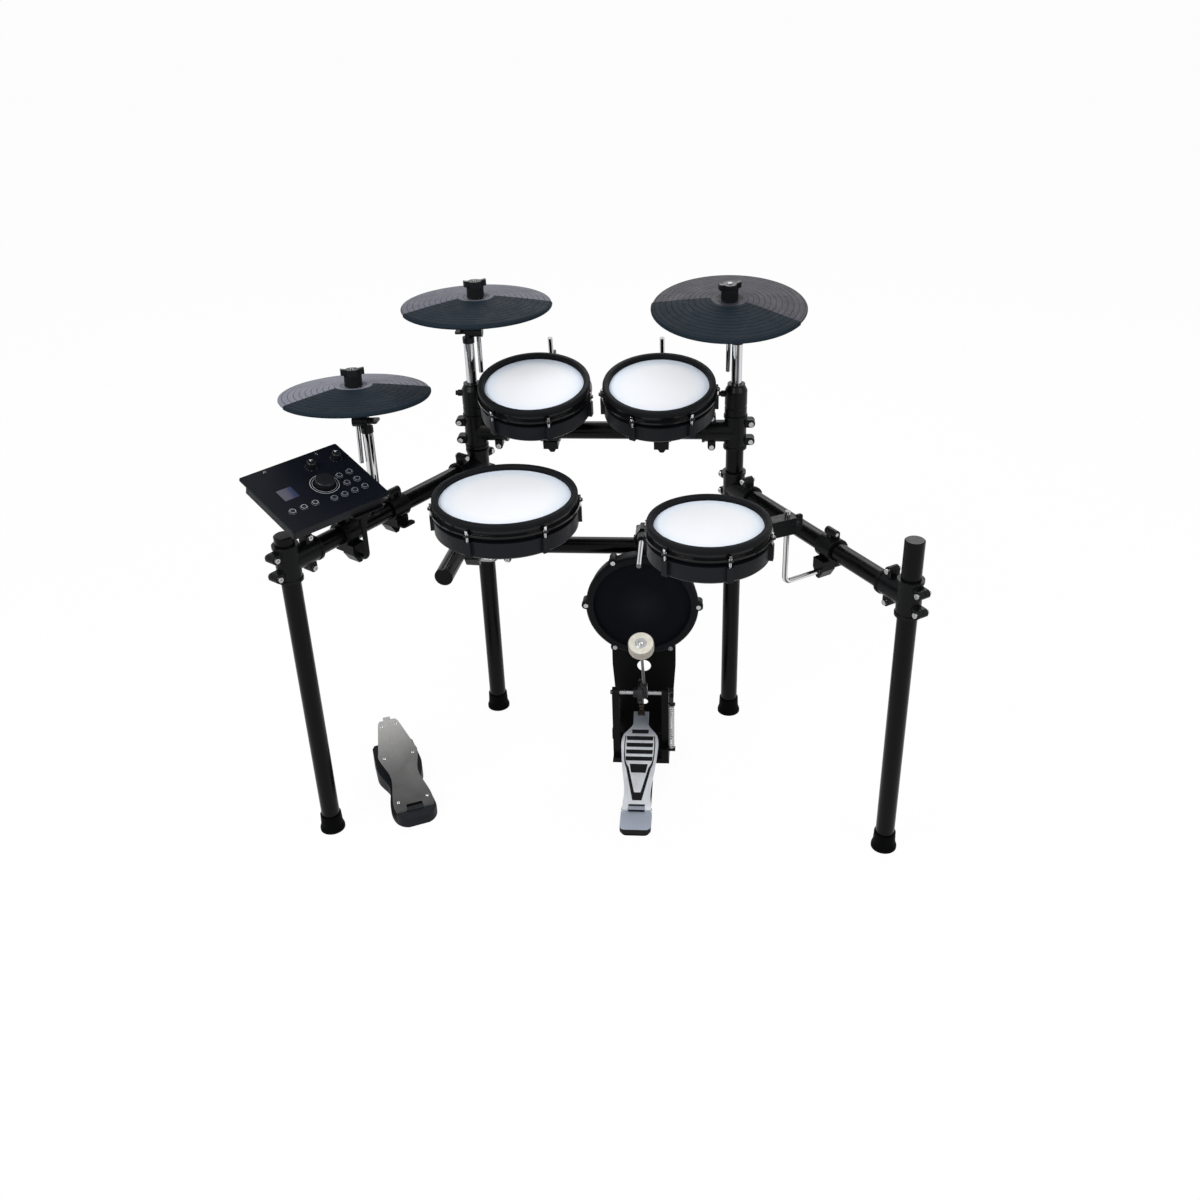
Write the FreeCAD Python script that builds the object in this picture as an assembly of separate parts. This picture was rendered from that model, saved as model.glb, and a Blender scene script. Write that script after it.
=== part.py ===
import FreeCAD, Part
import math
import os

# Electronic drum kit on a tube rack, millimetres.
# The sizes below are written about the rack: X to the player's right, Y away from the player,
# Z up, with the two rear posts on the X axis. The finished model is moved so that its origin is
# the middle of its footprint on the floor.

V = FreeCAD.Vector
X = V(1, 0, 0)
Y = V(0, 1, 0)
Z = V(0, 0, 1)
O = V(0, 0, 0)

# Clearances
RUN = 0.05            # radial clearance of a shaft, tube or pin that turns or slides
SEAT = 0.05           # clearance of parts that are clamped or plugged together
AIR = 0.5             # side clearance beside a moving part
TIP_GAP = 0.4         # from a clamp screw's tip to the tube or rod that it locks

# Rack tubes
TUBE_R = 19.0
TUBE_WALL = 1.6
REAR_POST_X = 279.5
LEFT_LEG_X = -567.0
LEFT_LEG_Y = -460.0
RIGHT_LEG_X = 594.0
RIGHT_LEG_Y = -470.0
UPPER_BAR_Z = 725.0
LOWER_BAR_Z = 445.0
LEFT_ARM_Z = 645.0
RIGHT_ARM_Z = 594.5
SNARE_ARM_Z = 538.0
SNARE_ARM_LENGTH = 324.0
SNARE_ARM_TURN = -4.6          # degrees from straight at the player
REAR_POST_TOP = 800.0
LEFT_LEG_TOP = 698.0
RIGHT_LEG_TOP = 708.0

# Rubber feet and end caps
FOOT_R = 26.0
FOOT_LIP_R = 21.8
FOOT_H = 39.0
FOOT_SOLE = 8.0
CAP_H = 4.0
CAP_PLUG = 14.0

# Tee clamps, each of two bolted halves
TEE_R = 23.5
TEE_HALF = 38.0
TEE_REACH = 71.0
TEE_LIP = 1.8
TEE_LIP_W = 6.0
TEE_SPLIT = 1.2
BAR_START = 26.0               # a bar's end, from the axis of the post it meets
LUG_R = 8.5
LUG_HALF = 11.0
LUG_OUT = 33.0
LUG_Z = 20.0
LUG_X = 50.0
BOLT_R = 3.0
BOLT_HEAD_R = 5.2
BOLT_HEAD_H = 5.0
SOCKET_R = 2.4

# Collars on top of the rear posts
COLLAR_TOP = 832.0
COLLAR_R = 23.6
COLLAR_GAP = 1.0
COLLAR_BOSS_R = 7.0

# Rack clamps with hinged jaws
CLAMP_R = 25.0
CLAMP_HALF = 21.0
CLAMP_SPLIT = 1.0
PIN_R = 3.5
PIN_UP = 34.0
KNUCKLE_R = 8.0
KNUCKLE_HALF = 6.0
EAR_W = 8.0
ROD_DROP = 45.0                # pad rod below the tube's axis
ROD_R = 5.25
ROD_BEND = 14.0
JAW_DEPTH = 30.0
JAW_BOTTOM = 59.0
SCREW_PAST = 11.0              # screw at the back: its hole past the jaws' split
WING_DROP = 31.0
WING_R = 4.0
WING_HUB_R = 6.5
WING_HUB_L = 10.0
WING_SPAN = 34.0
WING_TALL = 15.0
WING_T = 4.0
WING_OUT = 33.0

# Drum pads
RIM_W = 13.0
RIM_H = 11.4
HEAD_DROP = 10.0               # mesh below the rim's top
HEAD_T = 1.0
HOOP_TOP = 5.0
HOOP_WALL = 3.0
HOOP_LIP = 3.0
HOOP_BOTTOM = 26.0
HOOP_LIP_T = 4.0
FLESH_TOP = 14.0
FLESH_BOTTOM = 20.0
SHELL_TOP = 38.0
SHELL_BOTTOM = 72.0
SHELL_WALL = 4.0
LUGS = 6
LUG_BOX_W = 13.0
LUG_BOX_OUT = 6.0
KEY_ROD_R = 2.6
KEY_ROD_OUT = 2.5
KEY_HEAD_R = 4.4
KEY_HEAD_H = 8.0
BRACKET_HALF = 13.0
BRACKET_TOP = 30.0
BRACKET_BOTTOM = 64.0
BRACKET_PAST = 13.0
SENSOR_Z = 44.0
SENSOR_T = 2.0
CONE_R = 18.0
CONE_TIP_R = 8.0

SNARE_R = 142.0
SNARE_REACH = 22.5
SNARE_CLAMP_AT = 158.0         # along the snare arm, from the post's axis
SNARE_LEG = 70.0               # pad rod's level leg, from the tube's axis to the upright leg
SNARE_SWING = 23.3             # direction from the rod to the pad's centre, about the upright leg
SNARE_UP = 187.5               # pad's rim above the tube's axis
SNARE_ROD_TOP = -16.0          # rod's end above the pad's rim
SNARE_LUG_TURN = 9.0

TOM_R = 116.0
TOM_REACH = 30.0
TOM_TILT = 12.0
TOM_LEG = 103.5
TOM_UP = 149.0
TOM_ROD_TOP = 16.0
TOM1_ROD_X = -117.0
TOM1_SWING = -97.8
TOM1_LUG_TURN = -10.0
TOM2_ROD_X = 122.0
TOM2_SWING = -90.5
TOM2_LUG_TURN = 5.0

FLOOR_R = 116.0
FLOOR_REACH = 52.0
FLOOR_CLAMP_AT = 337.6         # along the right arm, from the post's axis
FLOOR_LEG = 112.0
FLOOR_SWING = 83.7
FLOOR_UP = 128.2
FLOOR_ROD_TOP = -18.0
FLOOR_LUG_TURN = -11.0

# Cymbals and their stands
STAND_R = 11.0
STAND_WALL = 1.2
STAND_FOOT_Z = 690.0
CRASH_TILT_Z = 945.0
CRASH_OFFSET = 22.0
CRASH_R = 152.5
CRASH_LEAN = -1.0
RIDE_TILT_Z = 943.0
RIDE_OFFSET = -18.0
RIDE_R = 155.5
RIDE_LEAN = 7.5
HIHAT_X = -462.0
HIHAT_Y = -191.0
HIHAT_FOOT_Z = 606.0
HIHAT_TILT_Z = 822.0
HIHAT_OFFSET = -17.8
HIHAT_R = 147.0
HIHAT_LEAN = -5.0
HOLDER_R = 17.0
HOLDER_HALF = 24.0
CAP_R = 12.4
CAP_LENGTH = 9.0
CAP_LID = 3.0
TONGUE_HALF = 4.5
TONGUE_R = 11.0
EYE_R = 12.0
EYE_LENGTH = 22.0
TILT_BOLT_R = 4.0
BOOM_R = 4.75
BOOM_DOWN = 89.0
BOOM_UP = 67.0                 # from the tilter's axis to the cymbal's pivot
BOOM_TOP = 40.0                # rod above the pivot
BALL_R = 10.0
BALL_HALF = 6.0
HUB_HALF = 3.0
DISH_R = 20.0                  # flat round the ball, below the bell
BELL_R = 38.5
BELL_RISE = 2.0
EDGE_DROP = 15.0
CYMBAL_T = 6.0
NOSE = 2.2                     # rounding of the cymbal's edge
RUBBER_T = 2.0
RUBBER_ANGLE = 156.0
CRASH_ZONE = 17.5              # middle of the rubber zone, from the player towards the right
RIDE_ZONE = -17.0
HIHAT_ZONE = 29.0
WASHER_R = 18.2
WASHER_T = 1.2
SLEEVE_R = 17.5
SLEEVE_H = 19.0
NUT_HUB_R = 14.0
NUT_H = 12.0
NUT_SPAN = 46.0
NUT_T = 10.0
NUT_FLARE = 2.0
NUT_TURN = 22.0

# Kick pad and its tower
KICK_X = 79.4
KICK_FRONT_Y = -80.0
KICK_Z = 332.0
KICK_R = 126.5
KICK_SHELL_R = 122.0
KICK_LIP_R = 110.0
KICK_HEAD_R = 117.9
KICK_DEPTH = 45.0
KICK_RING_T = 13.0
KICK_HEAD_T = 3.0
KICK_EAR_R = 10.0
KICK_EARS = 6
KICK_SCREW_H = 3.0
TAB_R = 10.0
TOWER_T = 3.0
TOWER_TOP_HALF = 74.0
TOWER_FOOT_HALF = 64.0
TOWER_TOP_Z = 300.0
TOWER_FLANGE = 18.0
TOWER_FRONT_Y = -215.0
TOWER_BASE_T = 4.0
TOWER_HOLE_R = 16.0
TOWER_HOLE_Z = 145.0
TOWER_SMALL_R = 8.0
TOWER_SMALL_Z = 43.0
BRACE_ROD_LENGTH = 178.0
SPUR_Y = -140.0
SPUR_Z = 26.0
SPUR_IN = 14.0                 # screws' ears inside the foot plate's sides

# Kick pedal
AXLE_Y = -190.0
AXLE_Z = 176.0
AXLE_R = 5.0
UPRIGHT_IN = 47.0
UPRIGHT_W = 16.0
UPRIGHT_HALF_D = 12.0
PEDAL_PLATE_T = 8.0
PEDAL_PLATE_HALF = 63.0
HEEL_Y = -462.0
HINGE_Y = -395.0
HINGE_Z = 15.0
HINGE_PIN_R = 3.0
HINGE_R = 7.0
HEEL_HALF = 33.0
KNUCKLE_X = 17.0
HEEL_ROUND = 12.0
RAIL_HALF = 30.0
RAIL_T = 4.0
BOARD_RISE = 20.0              # degrees
BOARD_T = 5.0
BOARD_LIFT = 2.0               # board's underside above the hinge's axis
BOARD_HEEL_HALF = 28.5
BOARD_WIDE_HALF = 40.5
BOARD_WIDE_AT = 172.0
NECK_HALF = 17.0
NECK_LENGTH = 33.0
BOARD_BARS = 5
BAR_FIRST = 117.6
BAR_PITCH = 17.8
BAR_W = 11.0
BAR_HALF = 30.0
BAR_LAST_HALF = 19.0
BAR_TAPER = 1.0
VEE_TOP = 102.0
VEE_LOW = 18.0
VEE_HALF = 28.0
VEE_TIP_HALF = 10.0
VEE_W = 6.0
VEE_TIP = 20.0                 # solid part at the tip
SHIELD_LOW = 87.0
SHIELD_HALF = 20.0
SHIELD_TIP_HALF = 16.0
SHIELD_GAP = 8.0
INLAY_DEEP = 1.5
INLAY_SUNK = 0.4
CLIP_HALF = 8.0
CLIP_LENGTH = 12.0
AXLE_END = 4.0
HUB_R = 11.0
HUB_LENGTH = 32.0
SPROCKET_HALF = 5.5
SPROCKET_TEETH = 5             # teeth below the chain's first pin on the wheel
TOOTH_HALF = 0.9
CHAIN_R = 28.0                 # sprocket's axis to the chain's pins
CHAIN_LINKS = 8
CHAIN_WRAP = 3
LINK_PLATE_T = 1.2
LINK_R = 3.8
LINK_IN = 2.6
LINK_PIN_R = 1.5
ROLLER_R = 2.5
BEATER_LEAN = 28.0
BEATER_SIDE = 9.0              # shaft beside the chain
BEATER_SHAFT_R = 3.2
BEATER_REACH = 222.0           # axle to the felt's end face
FELT_R = 27.0
FELT_LENGTH = 25.0
FELT_EDGE = 3.0
FELT_STUD_R = 12.5
FELT_STUD_T = 2.0
FELT_NUT_R = 5.5
FELT_NUT_H = 5.0
SHAFT_CLAMP_R = 7.5
SHAFT_CLAMP_UP = 40.0
LEVER_X = 70.0
LEVER_HALF = 4.0
LEVER_REACH = 22.0
LEVER_R = 5.0
SEAT_DROP = 16.0               # spring's upper seat below the axle
SPRING_SEAT_R = 8.0
SPRING_SEAT_T = 3.0
SPRING_ANCHOR_Z = 42.0
SPRING_R = 5.0
SPRING_WIRE_R = 1.2
SPRING_TURNS = 18

# Hi-hat controller pedal
HH_HEEL_X = -382.0
HH_HEEL_Y = -446.0
HH_TURN = 25.7                 # degrees to the left of straight ahead
HH_LENGTH = 246.0
HH_HEEL_HALF = 48.0
HH_WAIST_HALF = 36.0
HH_WIDE_HALF = 50.0
HH_WIDE_AT = 184.0
HH_TOE_HALF = 42.0
HH_FLOOR = 10.0                # base's height at the foot of its slope
HH_TOE_H = 50.0
HH_HINGE_AT = 32.0
HH_HINGE_Z = 21.0
HH_GAP = 11.0
HH_TOP = 5.0
HH_TAB_HALF = 17.0
HH_RISE = 15.5
HH_BOARD = 250.0
HH_BOARD_T = 4.0
HH_BOARD_LIFT = 3.0
HH_BOARD_HEEL_HALF = 42.0
HH_BOARD_WAIST_HALF = 30.5
HH_BOARD_WIDE_HALF = 44.0
HH_BOARD_TOE_HALF = 23.0
HH_LUG_HALF = 8.0
HH_LUG = 9.0
HH_RIVETS = [(31.5, 20.0), (32.0, 144.0), (16.5, 234.0)]
HH_RIVET_R = 4.4
HH_RIVET_H = 1.8
HH_DOME_R = 10.0
HH_DOME_H = 14.0
HH_DOME_AT = 215.0

# Sound module
MODULE_X = -518.4
MODULE_Y = -383.1
MODULE_Z = 767.4
MODULE_TURN = 50.5
MODULE_TILT = 18.9
MODULE_W = 218.0
MODULE_D = 176.0
MODULE_CORNER = 4.0
PANEL_T = 4.0
CASE_INSET = 9.0
CASE_H = 27.0
CASE_WALL = 3.0
BOARD_DEPTH = 20.0
BOARD_THICK = 1.6
LCD_X = -56.5
LCD_Y = 6.3
LCD_W = 32.0
LCD_D = 32.0
LCD_T = 2.0
DIAL_X = 17.4
DIAL_Y = -5.0
DIAL_R = 19.0
DIAL_H = 13.0
DIAL_RING_IN = 23.0
DIAL_RING_OUT = 28.0
DIAL_RING_H = 1.0
KNOB_LEFT_X = 25.5
KNOB_RIGHT_X = 83.0
KNOB_Y = 50.0
KNOB_R = 8.5
KNOB_H = 13.0
SHAFT_R = 3.0
SHAFT_HOLE = 3.05
KEY_PITCH = 23.5
KEY_RIGHT_X = 79.8
KEY_TOP_Y = 1.8
KEY_ROW = 25.0
MENU_LEFT_X = -78.3
MENU_Y = -41.5
MENU_PITCH = 24.8
KEY_R = 6.0
KEY_UP = 2.5
KEY_FLANGE = 1.4
KEY_FLANGE_T = 1.6
KEY_TRAVEL = 1.2
KEY_AIR = 0.3
JACK_R = 3.3
JACK_BODY_R = 6.0
JACK_DEPTH = 22.0
JACK_PITCH = 34.0
JACKS = 3
PLATE_W = 70.0
PLATE_D = 44.0
PLATE_T = 3.0
MODULE_HINGE_DROP = 17.0       # hinge axis below the bracket plate
MODULE_EAR_T = 4.0
MODULE_EAR_R = 10.0
MODULE_TONGUE_HALF = 8.0
MODULE_PIN_R = 4.0
HEAD_SLEEVE = 16.0
MODULE_CLAMP_AT = 392.0
MODULE_SIDE = -1.0              # rod on the inner side of the arm
MODULE_LEG = 52.0
EDGE_SCREW_X = 58.5
EDGE_SCREW_R = 3.4
EDGE_SCREW_H = 1.6


def unit(vector):
    return V(vector).normalize()


def turned(degrees):
    angle = math.radians(degrees)
    return V(math.cos(angle), math.sin(angle), 0)


def cyl(base, axis, radius, length):
    return Part.makeCylinder(radius, length, base, axis)


def pipe(base, axis, outer, inner, length):
    hole = cyl(base - unit(axis), axis, inner, length + 2)
    return cyl(base, axis, outer, length).cut(hole)


def block(x0, x1, y0, y1, z0, z1):
    return Part.makeBox(x1 - x0, y1 - y0, z1 - z0, V(x0, y0, z0))


def slab(width, depth, height, corner):
    box = block(-width / 2, width / 2, -depth / 2, depth / 2, 0, height)
    upright = [e for e in box.Edges if abs(e.Vertexes[0].Z - e.Vertexes[1].Z) > height / 2]
    return box.makeFillet(corner, upright)


def lathe(outline, angle=360):
    points = [V(r, 0, z) for r, z in outline]
    face = Part.Face(Part.makePolygon(points + points[:1]))
    return face.revolve(O, Z, angle)


def prism(outline, vector):
    return Part.Face(Part.makePolygon(outline + outline[:1])).extrude(vector)


def plan(half, low, height, straight=()):
    """Flat plate, even about Y: smooth sides through the half widths, then straight runs to the end."""
    sides = []
    for sign in (1, -1):
        curve = Part.BSplineCurve()
        curve.interpolate([V(sign * x, y, low) for x, y in half])
        sides.append(curve.toShape())
        for start, end in zip(half[-1:] + list(straight), straight):
            sides.append(Part.makeLine(V(sign * start[0], start[1], low), V(sign * end[0], end[1], low)))
    for x, y in (half[0], (list(half) + list(straight))[-1]):
        sides.append(Part.makeLine(V(-x, y, low), V(x, y, low)))
    wire = Part.Wire(Part.sortEdges(sides)[0])
    return Part.Face(wire).extrude(V(0, 0, height))


def fused(shapes):
    return shapes[0].multiFuse(shapes[1:]).removeSplitter()


def moved(shape, placement):
    copy = shape.copy()
    copy.Placement = placement.multiply(copy.Placement)
    return copy


def axes(origin, x_dir, z_dir):
    x = unit(x_dir)
    z = unit(z_dir)
    y = z.cross(x)
    matrix = FreeCAD.Matrix(x.x, y.x, z.x, origin.x, x.y, y.y, z.y, origin.y,
                            x.z, y.z, z.z, origin.z, 0, 0, 0, 1)
    return FreeCAD.Placement(matrix)


def set_at(shapes, origin, x_dir, z_dir):
    placement = axes(origin, x_dir, z_dir)
    return [moved(shape, placement) for shape in shapes]


# Places that several pieces share
LEFT_POST = V(-REAR_POST_X, 0, 0)
RIGHT_POST = V(REAR_POST_X, 0, 0)
LEFT_LEG = V(LEFT_LEG_X, LEFT_LEG_Y, 0)
RIGHT_LEG = V(RIGHT_LEG_X, RIGHT_LEG_Y, 0)
LEFT_ARM_DIR = unit(LEFT_LEG - LEFT_POST)
RIGHT_ARM_DIR = unit(RIGHT_LEG - RIGHT_POST)
SNARE_ARM_DIR = turned(-90 + SNARE_ARM_TURN)
TUBE_BORE = TUBE_R - TUBE_WALL
CLAMP_BORE = TUBE_R + RUN
TOM_UP_DIR = V(0, -math.sin(math.radians(TOM_TILT)), math.cos(math.radians(TOM_TILT)))


def along(base, direction, distance, height):
    point = base + direction * distance
    return V(point.x, point.y, height)


def tube(start, end):
    run = end - start
    return pipe(start, run, TUBE_R, TUBE_BORE, run.Length)


def post(foot, top):
    return tube(V(foot.x, foot.y, FOOT_SOLE), V(foot.x, foot.y, top))


def bar(start, direction, height, reach):
    return tube(along(start, direction, BAR_START, height), along(start, direction, reach, height))


def foot_cup(foot):
    cup = lathe([(0, 0), (FOOT_R, 0), (FOOT_R, 5), (FOOT_LIP_R + 1, 15), (FOOT_LIP_R, FOOT_H),
                 (TUBE_R + SEAT, FOOT_H), (TUBE_R + SEAT, FOOT_SOLE), (0, FOOT_SOLE)])
    cup.translate(foot)
    return cup


def end_cap(origin, direction):
    plug_r = TUBE_BORE - SEAT
    cap = lathe([(0, -CAP_PLUG), (plug_r, -CAP_PLUG), (plug_r, 0), (TUBE_R, 0),
                 (TUBE_R, CAP_H - 1.5), (TUBE_R - 2, CAP_H), (0, CAP_H)])
    side = X if abs(direction.z) > 0.5 else Z
    return set_at([cap], origin, side, direction)[0]


def bolt(x, z, low, high):
    head = cyl(V(x, low - BOLT_HEAD_H, z), Y, BOLT_HEAD_R, BOLT_HEAD_H)
    head = head.cut(cyl(V(x, low - BOLT_HEAD_H, z), Y, SOCKET_R, BOLT_HEAD_H / 2))
    shank = cyl(V(x, low, z), Y, BOLT_R, high - low)
    nut = cyl(V(x, high, z), Y, BOLT_HEAD_R, BOLT_HEAD_H)
    return fused([head, shank, nut])


def tee():
    """Two halves and four bolts: Z along the post, X along the bar that it holds."""
    body = [cyl(V(0, 0, -TEE_HALF), Z, TEE_R, 2 * TEE_HALF), cyl(O, X, TEE_R, TEE_REACH)]
    body.append(cyl(V(TEE_REACH - TEE_LIP_W, 0, 0), X, TEE_R + TEE_LIP, TEE_LIP_W))
    for z in (-TEE_HALF, TEE_HALF - TEE_LIP_W):
        body.append(cyl(V(0, 0, z), Z, TEE_R + TEE_LIP, TEE_LIP_W))
    spots = [(-LUG_OUT, -LUG_Z), (-LUG_OUT, LUG_Z), (LUG_X, -LUG_OUT), (LUG_X, LUG_OUT)]
    for x, z in spots:
        body.append(cyl(V(x, -LUG_HALF, z), Y, LUG_R, 2 * LUG_HALF))
        if x < 0:
            body.append(block(x, 0, -LUG_HALF, LUG_HALF, z - LUG_R, z + LUG_R))
        else:
            body.append(block(x - LUG_R, x + LUG_R, -LUG_HALF, LUG_HALF, min(z, 0), max(z, 0)))
    solid = body[0].multiFuse(body[1:])
    solid = solid.cut(cyl(V(0, 0, -2 * TEE_HALF), Z, CLAMP_BORE, 4 * TEE_HALF))
    solid = solid.cut(cyl(V(BAR_START - 1, 0, 0), X, TUBE_R + SEAT, TEE_REACH))
    for x, z in spots:
        solid = solid.cut(cyl(V(x, -2 * LUG_HALF, z), Y, BOLT_R + SEAT, 4 * LUG_HALF))
    wide = 2 * TEE_REACH
    solid = solid.cut(block(-wide, wide, -TEE_SPLIT / 2, TEE_SPLIT / 2, -wide, wide))
    halves = [s for s in solid.removeSplitter().Solids]
    return halves + [bolt(x, z, -LUG_HALF, LUG_HALF) for x, z in spots]


def post_collar(foot, screw_dir):
    """Sleeve on top of a rear post that guides a stand's tube, with its clamp screw."""
    low = UPPER_BAR_Z + TEE_HALF + COLLAR_GAP
    high = COLLAR_TOP
    outline = [(TUBE_R + SEAT, low), (COLLAR_R, low), (COLLAR_R, low + 16), (COLLAR_R - 1.2, low + 17),
               (COLLAR_R - 1.2, low + 20), (COLLAR_R, low + 21), (COLLAR_R, high - 14),
               (COLLAR_R - 5, high - 4), (COLLAR_R - 5, high), (STAND_R + RUN, high),
               (STAND_R + RUN, REAR_POST_TOP + SEAT), (TUBE_R + SEAT, REAR_POST_TOP + SEAT)]
    middle = (REAR_POST_TOP + high - 14) / 2
    boss_out = COLLAR_R + 8
    boss = cyl(V(COLLAR_R - 5, 0, middle), X, COLLAR_BOSS_R, boss_out - COLLAR_R + 5)
    sleeve = fused([lathe(outline), boss]).cut(cyl(V(STAND_R / 2, 0, middle), X, BOLT_R + SEAT, 2 * COLLAR_R))
    tip = STAND_R + RUN + 0.3
    screw = fused([cyl(V(tip, 0, middle), X, BOLT_R, boss_out - tip),
                   cyl(V(boss_out, 0, middle), X, BOLT_HEAD_R, BOLT_HEAD_H)])
    return set_at([sleeve, screw], foot, screw_dir, Z)


def wing(base, direction, across, reach):
    """Wing screw: a shank that reaches inwards, a hub and two flat wings."""
    hub = cyl(O, Z, WING_HUB_R, WING_HUB_L)
    shank = cyl(V(0, 0, -reach), Z, WING_R, reach)
    half = WING_SPAN / 2
    rise = WING_HUB_L / 2
    lobe = block(-half, half, -WING_T / 2, WING_T / 2, rise, rise + WING_TALL)
    corners = [e for e in lobe.Edges if abs(e.Vertexes[0].Y - e.Vertexes[1].Y) > WING_T / 2]
    lobe = lobe.makeFillet(WING_TALL / 3, corners)
    return set_at([fused([hub, shank, lobe])], base, across, direction)[0]


def rack_clamp(rod_radius, carried=(), rear_screw=False):
    """Hinged jaws round a tube along X, with a rod's bore along Y below it, or with what the jaw carries."""
    sleeve = pipe(V(-CLAMP_HALF, 0, 0), X, CLAMP_R, CLAMP_BORE, 2 * CLAMP_HALF)
    big = 4 * CLAMP_R
    half = CLAMP_SPLIT / 2
    front = sleeve.common(block(-big, big, -big, -half, -big, big))
    back = sleeve.common(block(-big, big, half, big, -big, big))
    wide = CLAMP_HALF - 5
    narrow = wide / 4
    outline = [V(-wide, half, -TUBE_R), V(wide, half, -TUBE_R), V(wide, half, -ROD_DROP + ROD_R),
               V(narrow, half, -JAW_BOTTOM), V(-narrow, half, -JAW_BOTTOM),
               V(-wide, half, -ROD_DROP + ROD_R)]
    back = back.fuse(prism(outline, V(0, JAW_DEPTH, 0)))
    for shape in carried:
        back = back.fuse(shape)
    flange = block(-wide, wide, -CLAMP_R + 6, -half, -WING_DROP - WING_HUB_R, -TUBE_R)
    front = front.fuse(flange)
    knuckle = cyl(V(-KNUCKLE_HALF, 0, PIN_UP), X, KNUCKLE_R, 2 * KNUCKLE_HALF)
    back = back.fuse(knuckle).fuse(block(-KNUCKLE_HALF, KNUCKLE_HALF, half, KNUCKLE_R, CLAMP_R - 6, PIN_UP))
    for x in (-KNUCKLE_HALF - AIR - EAR_W, KNUCKLE_HALF + AIR):
        front = front.fuse(cyl(V(x, 0, PIN_UP), X, KNUCKLE_R, EAR_W))
        front = front.fuse(block(x, x + EAR_W, -KNUCKLE_R, -half, CLAMP_R - 6, PIN_UP))
    pin_half = KNUCKLE_HALF + AIR + EAR_W
    hole = cyl(V(-big, 0, PIN_UP), X, PIN_R + SEAT, 2 * big)
    tube_hole = cyl(V(-big, 0, 0), X, CLAMP_BORE, 2 * big)
    screw_hole = cyl(V(0, -big, -WING_DROP), Y, WING_R + SEAT, big + JAW_DEPTH - 8)
    screw = wing(V(0, -CLAMP_R + 6, -WING_DROP), -Y, X, CLAMP_R - 6 + JAW_DEPTH - 10)
    if rear_screw:
        screw_hole = cyl(V(0, -SCREW_PAST, -WING_DROP), Y, WING_R + SEAT, big)
        screw = wing(V(0, half + JAW_DEPTH, -WING_DROP), Y, X, half + JAW_DEPTH + SCREW_PAST - 2)
    rod_hole = cyl(V(0, -big, -ROD_DROP), Y, rod_radius + SEAT, 2 * big)
    front = front.cut(hole).cut(tube_hole).cut(screw_hole).removeSplitter()
    back = back.cut(hole).cut(tube_hole).cut(screw_hole).cut(rod_hole).removeSplitter()
    pin = cyl(V(-pin_half - 1, 0, PIN_UP), X, PIN_R, 2 * pin_half + 2)
    return [front, back, pin, screw]


def bent_rod(leg, top):
    start = V(0, CLAMP_SPLIT, -ROD_DROP)
    turn = V(0, leg - ROD_BEND, -ROD_DROP)
    middle = V(0, leg - ROD_BEND * (1 - math.sqrt(0.5)), -ROD_DROP + ROD_BEND * (1 - math.sqrt(0.5)))
    rise = V(0, leg, -ROD_DROP + ROD_BEND)
    path = Part.Wire([Part.makeLine(start, turn), Part.Arc(turn, middle, rise).toShape(),
                      Part.makeLine(rise, V(0, leg, top))])
    circle = Part.Wire(Part.makeCircle(ROD_R, start, Y))
    return path.makePipeShell([circle], True, False)


def pad_mount(leg, up, rod_top, rear_screw):
    return rack_clamp(ROD_R, (), rear_screw) + [bent_rod(leg, up + rod_top)]


def pad_shell(radius, reach, lug_turn):
    """Shell with its lugs, rod bracket, bracket screw, sensor plate and foam cone."""
    collar = radius - RIM_W - 1.4
    inner = collar - 2.2
    low = -SHELL_BOTTOM
    outline = [(0, low), (radius - 5, low), (radius - 1, low + SHELL_WALL), (radius - 1, -SHELL_TOP),
               (collar, -SHELL_TOP), (collar, -HEAD_DROP - HEAD_T - SEAT),
               (inner, -HEAD_DROP - HEAD_T - SEAT),
               (inner, low + SHELL_WALL), (0, low + SHELL_WALL)]
    shell = lathe(outline)
    for k in range(LUGS):
        direction = turned(lug_turn + k * 360 / LUGS)
        lug = block(radius - 4, radius + LUG_BOX_OUT, -LUG_BOX_W / 2, LUG_BOX_W / 2, low + 3, -SHELL_TOP)
        hole = cyl(V(radius + KEY_ROD_OUT, 0, low + 8), Z, KEY_ROD_R + SEAT, SHELL_BOTTOM)
        shell = shell.fuse(set_at([lug], O, direction, Z)[0])
        shell = shell.cut(set_at([hole], O, direction, Z)[0])
    stand_z = -SENSOR_Z - SENSOR_T - SEAT
    for k in range(3):
        spot = turned(30 + 120 * k) * (radius - 40)
        shell = shell.fuse(cyl(V(spot.x, spot.y, low + 1), Z, 5, stand_z - low - 1))
    shell = shell.removeSplitter()
    rod_y = radius + reach
    bracket = block(-BRACKET_HALF, BRACKET_HALF, radius - 6, rod_y + BRACKET_PAST,
                    -BRACKET_BOTTOM, -BRACKET_TOP)
    bracket = bracket.cut(cyl(V(0, 0, -SHELL_BOTTOM), Z, radius - 1 + SEAT, SHELL_BOTTOM))
    bracket = bracket.cut(cyl(V(0, rod_y, -SHELL_BOTTOM), Z, ROD_R + RUN, SHELL_BOTTOM))
    middle = -(BRACKET_TOP + BRACKET_BOTTOM) / 2
    bracket = bracket.cut(cyl(V(0, rod_y, middle), Y, WING_R + SEAT, BRACKET_PAST + 1))
    screw_reach = BRACKET_PAST - ROD_R - TIP_GAP
    screw = wing(V(0, rod_y + BRACKET_PAST, middle), Y, Z, screw_reach)
    plate = cyl(V(0, 0, -SENSOR_Z - SENSOR_T), Z, radius - 32, SENSOR_T)
    cone_top = -HEAD_DROP - HEAD_T - SEAT
    cone = Part.makeCone(CONE_R, CONE_TIP_R, SENSOR_Z + cone_top, V(0, 0, -SENSOR_Z), Z)
    return [shell, bracket, screw, plate, cone]


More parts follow.
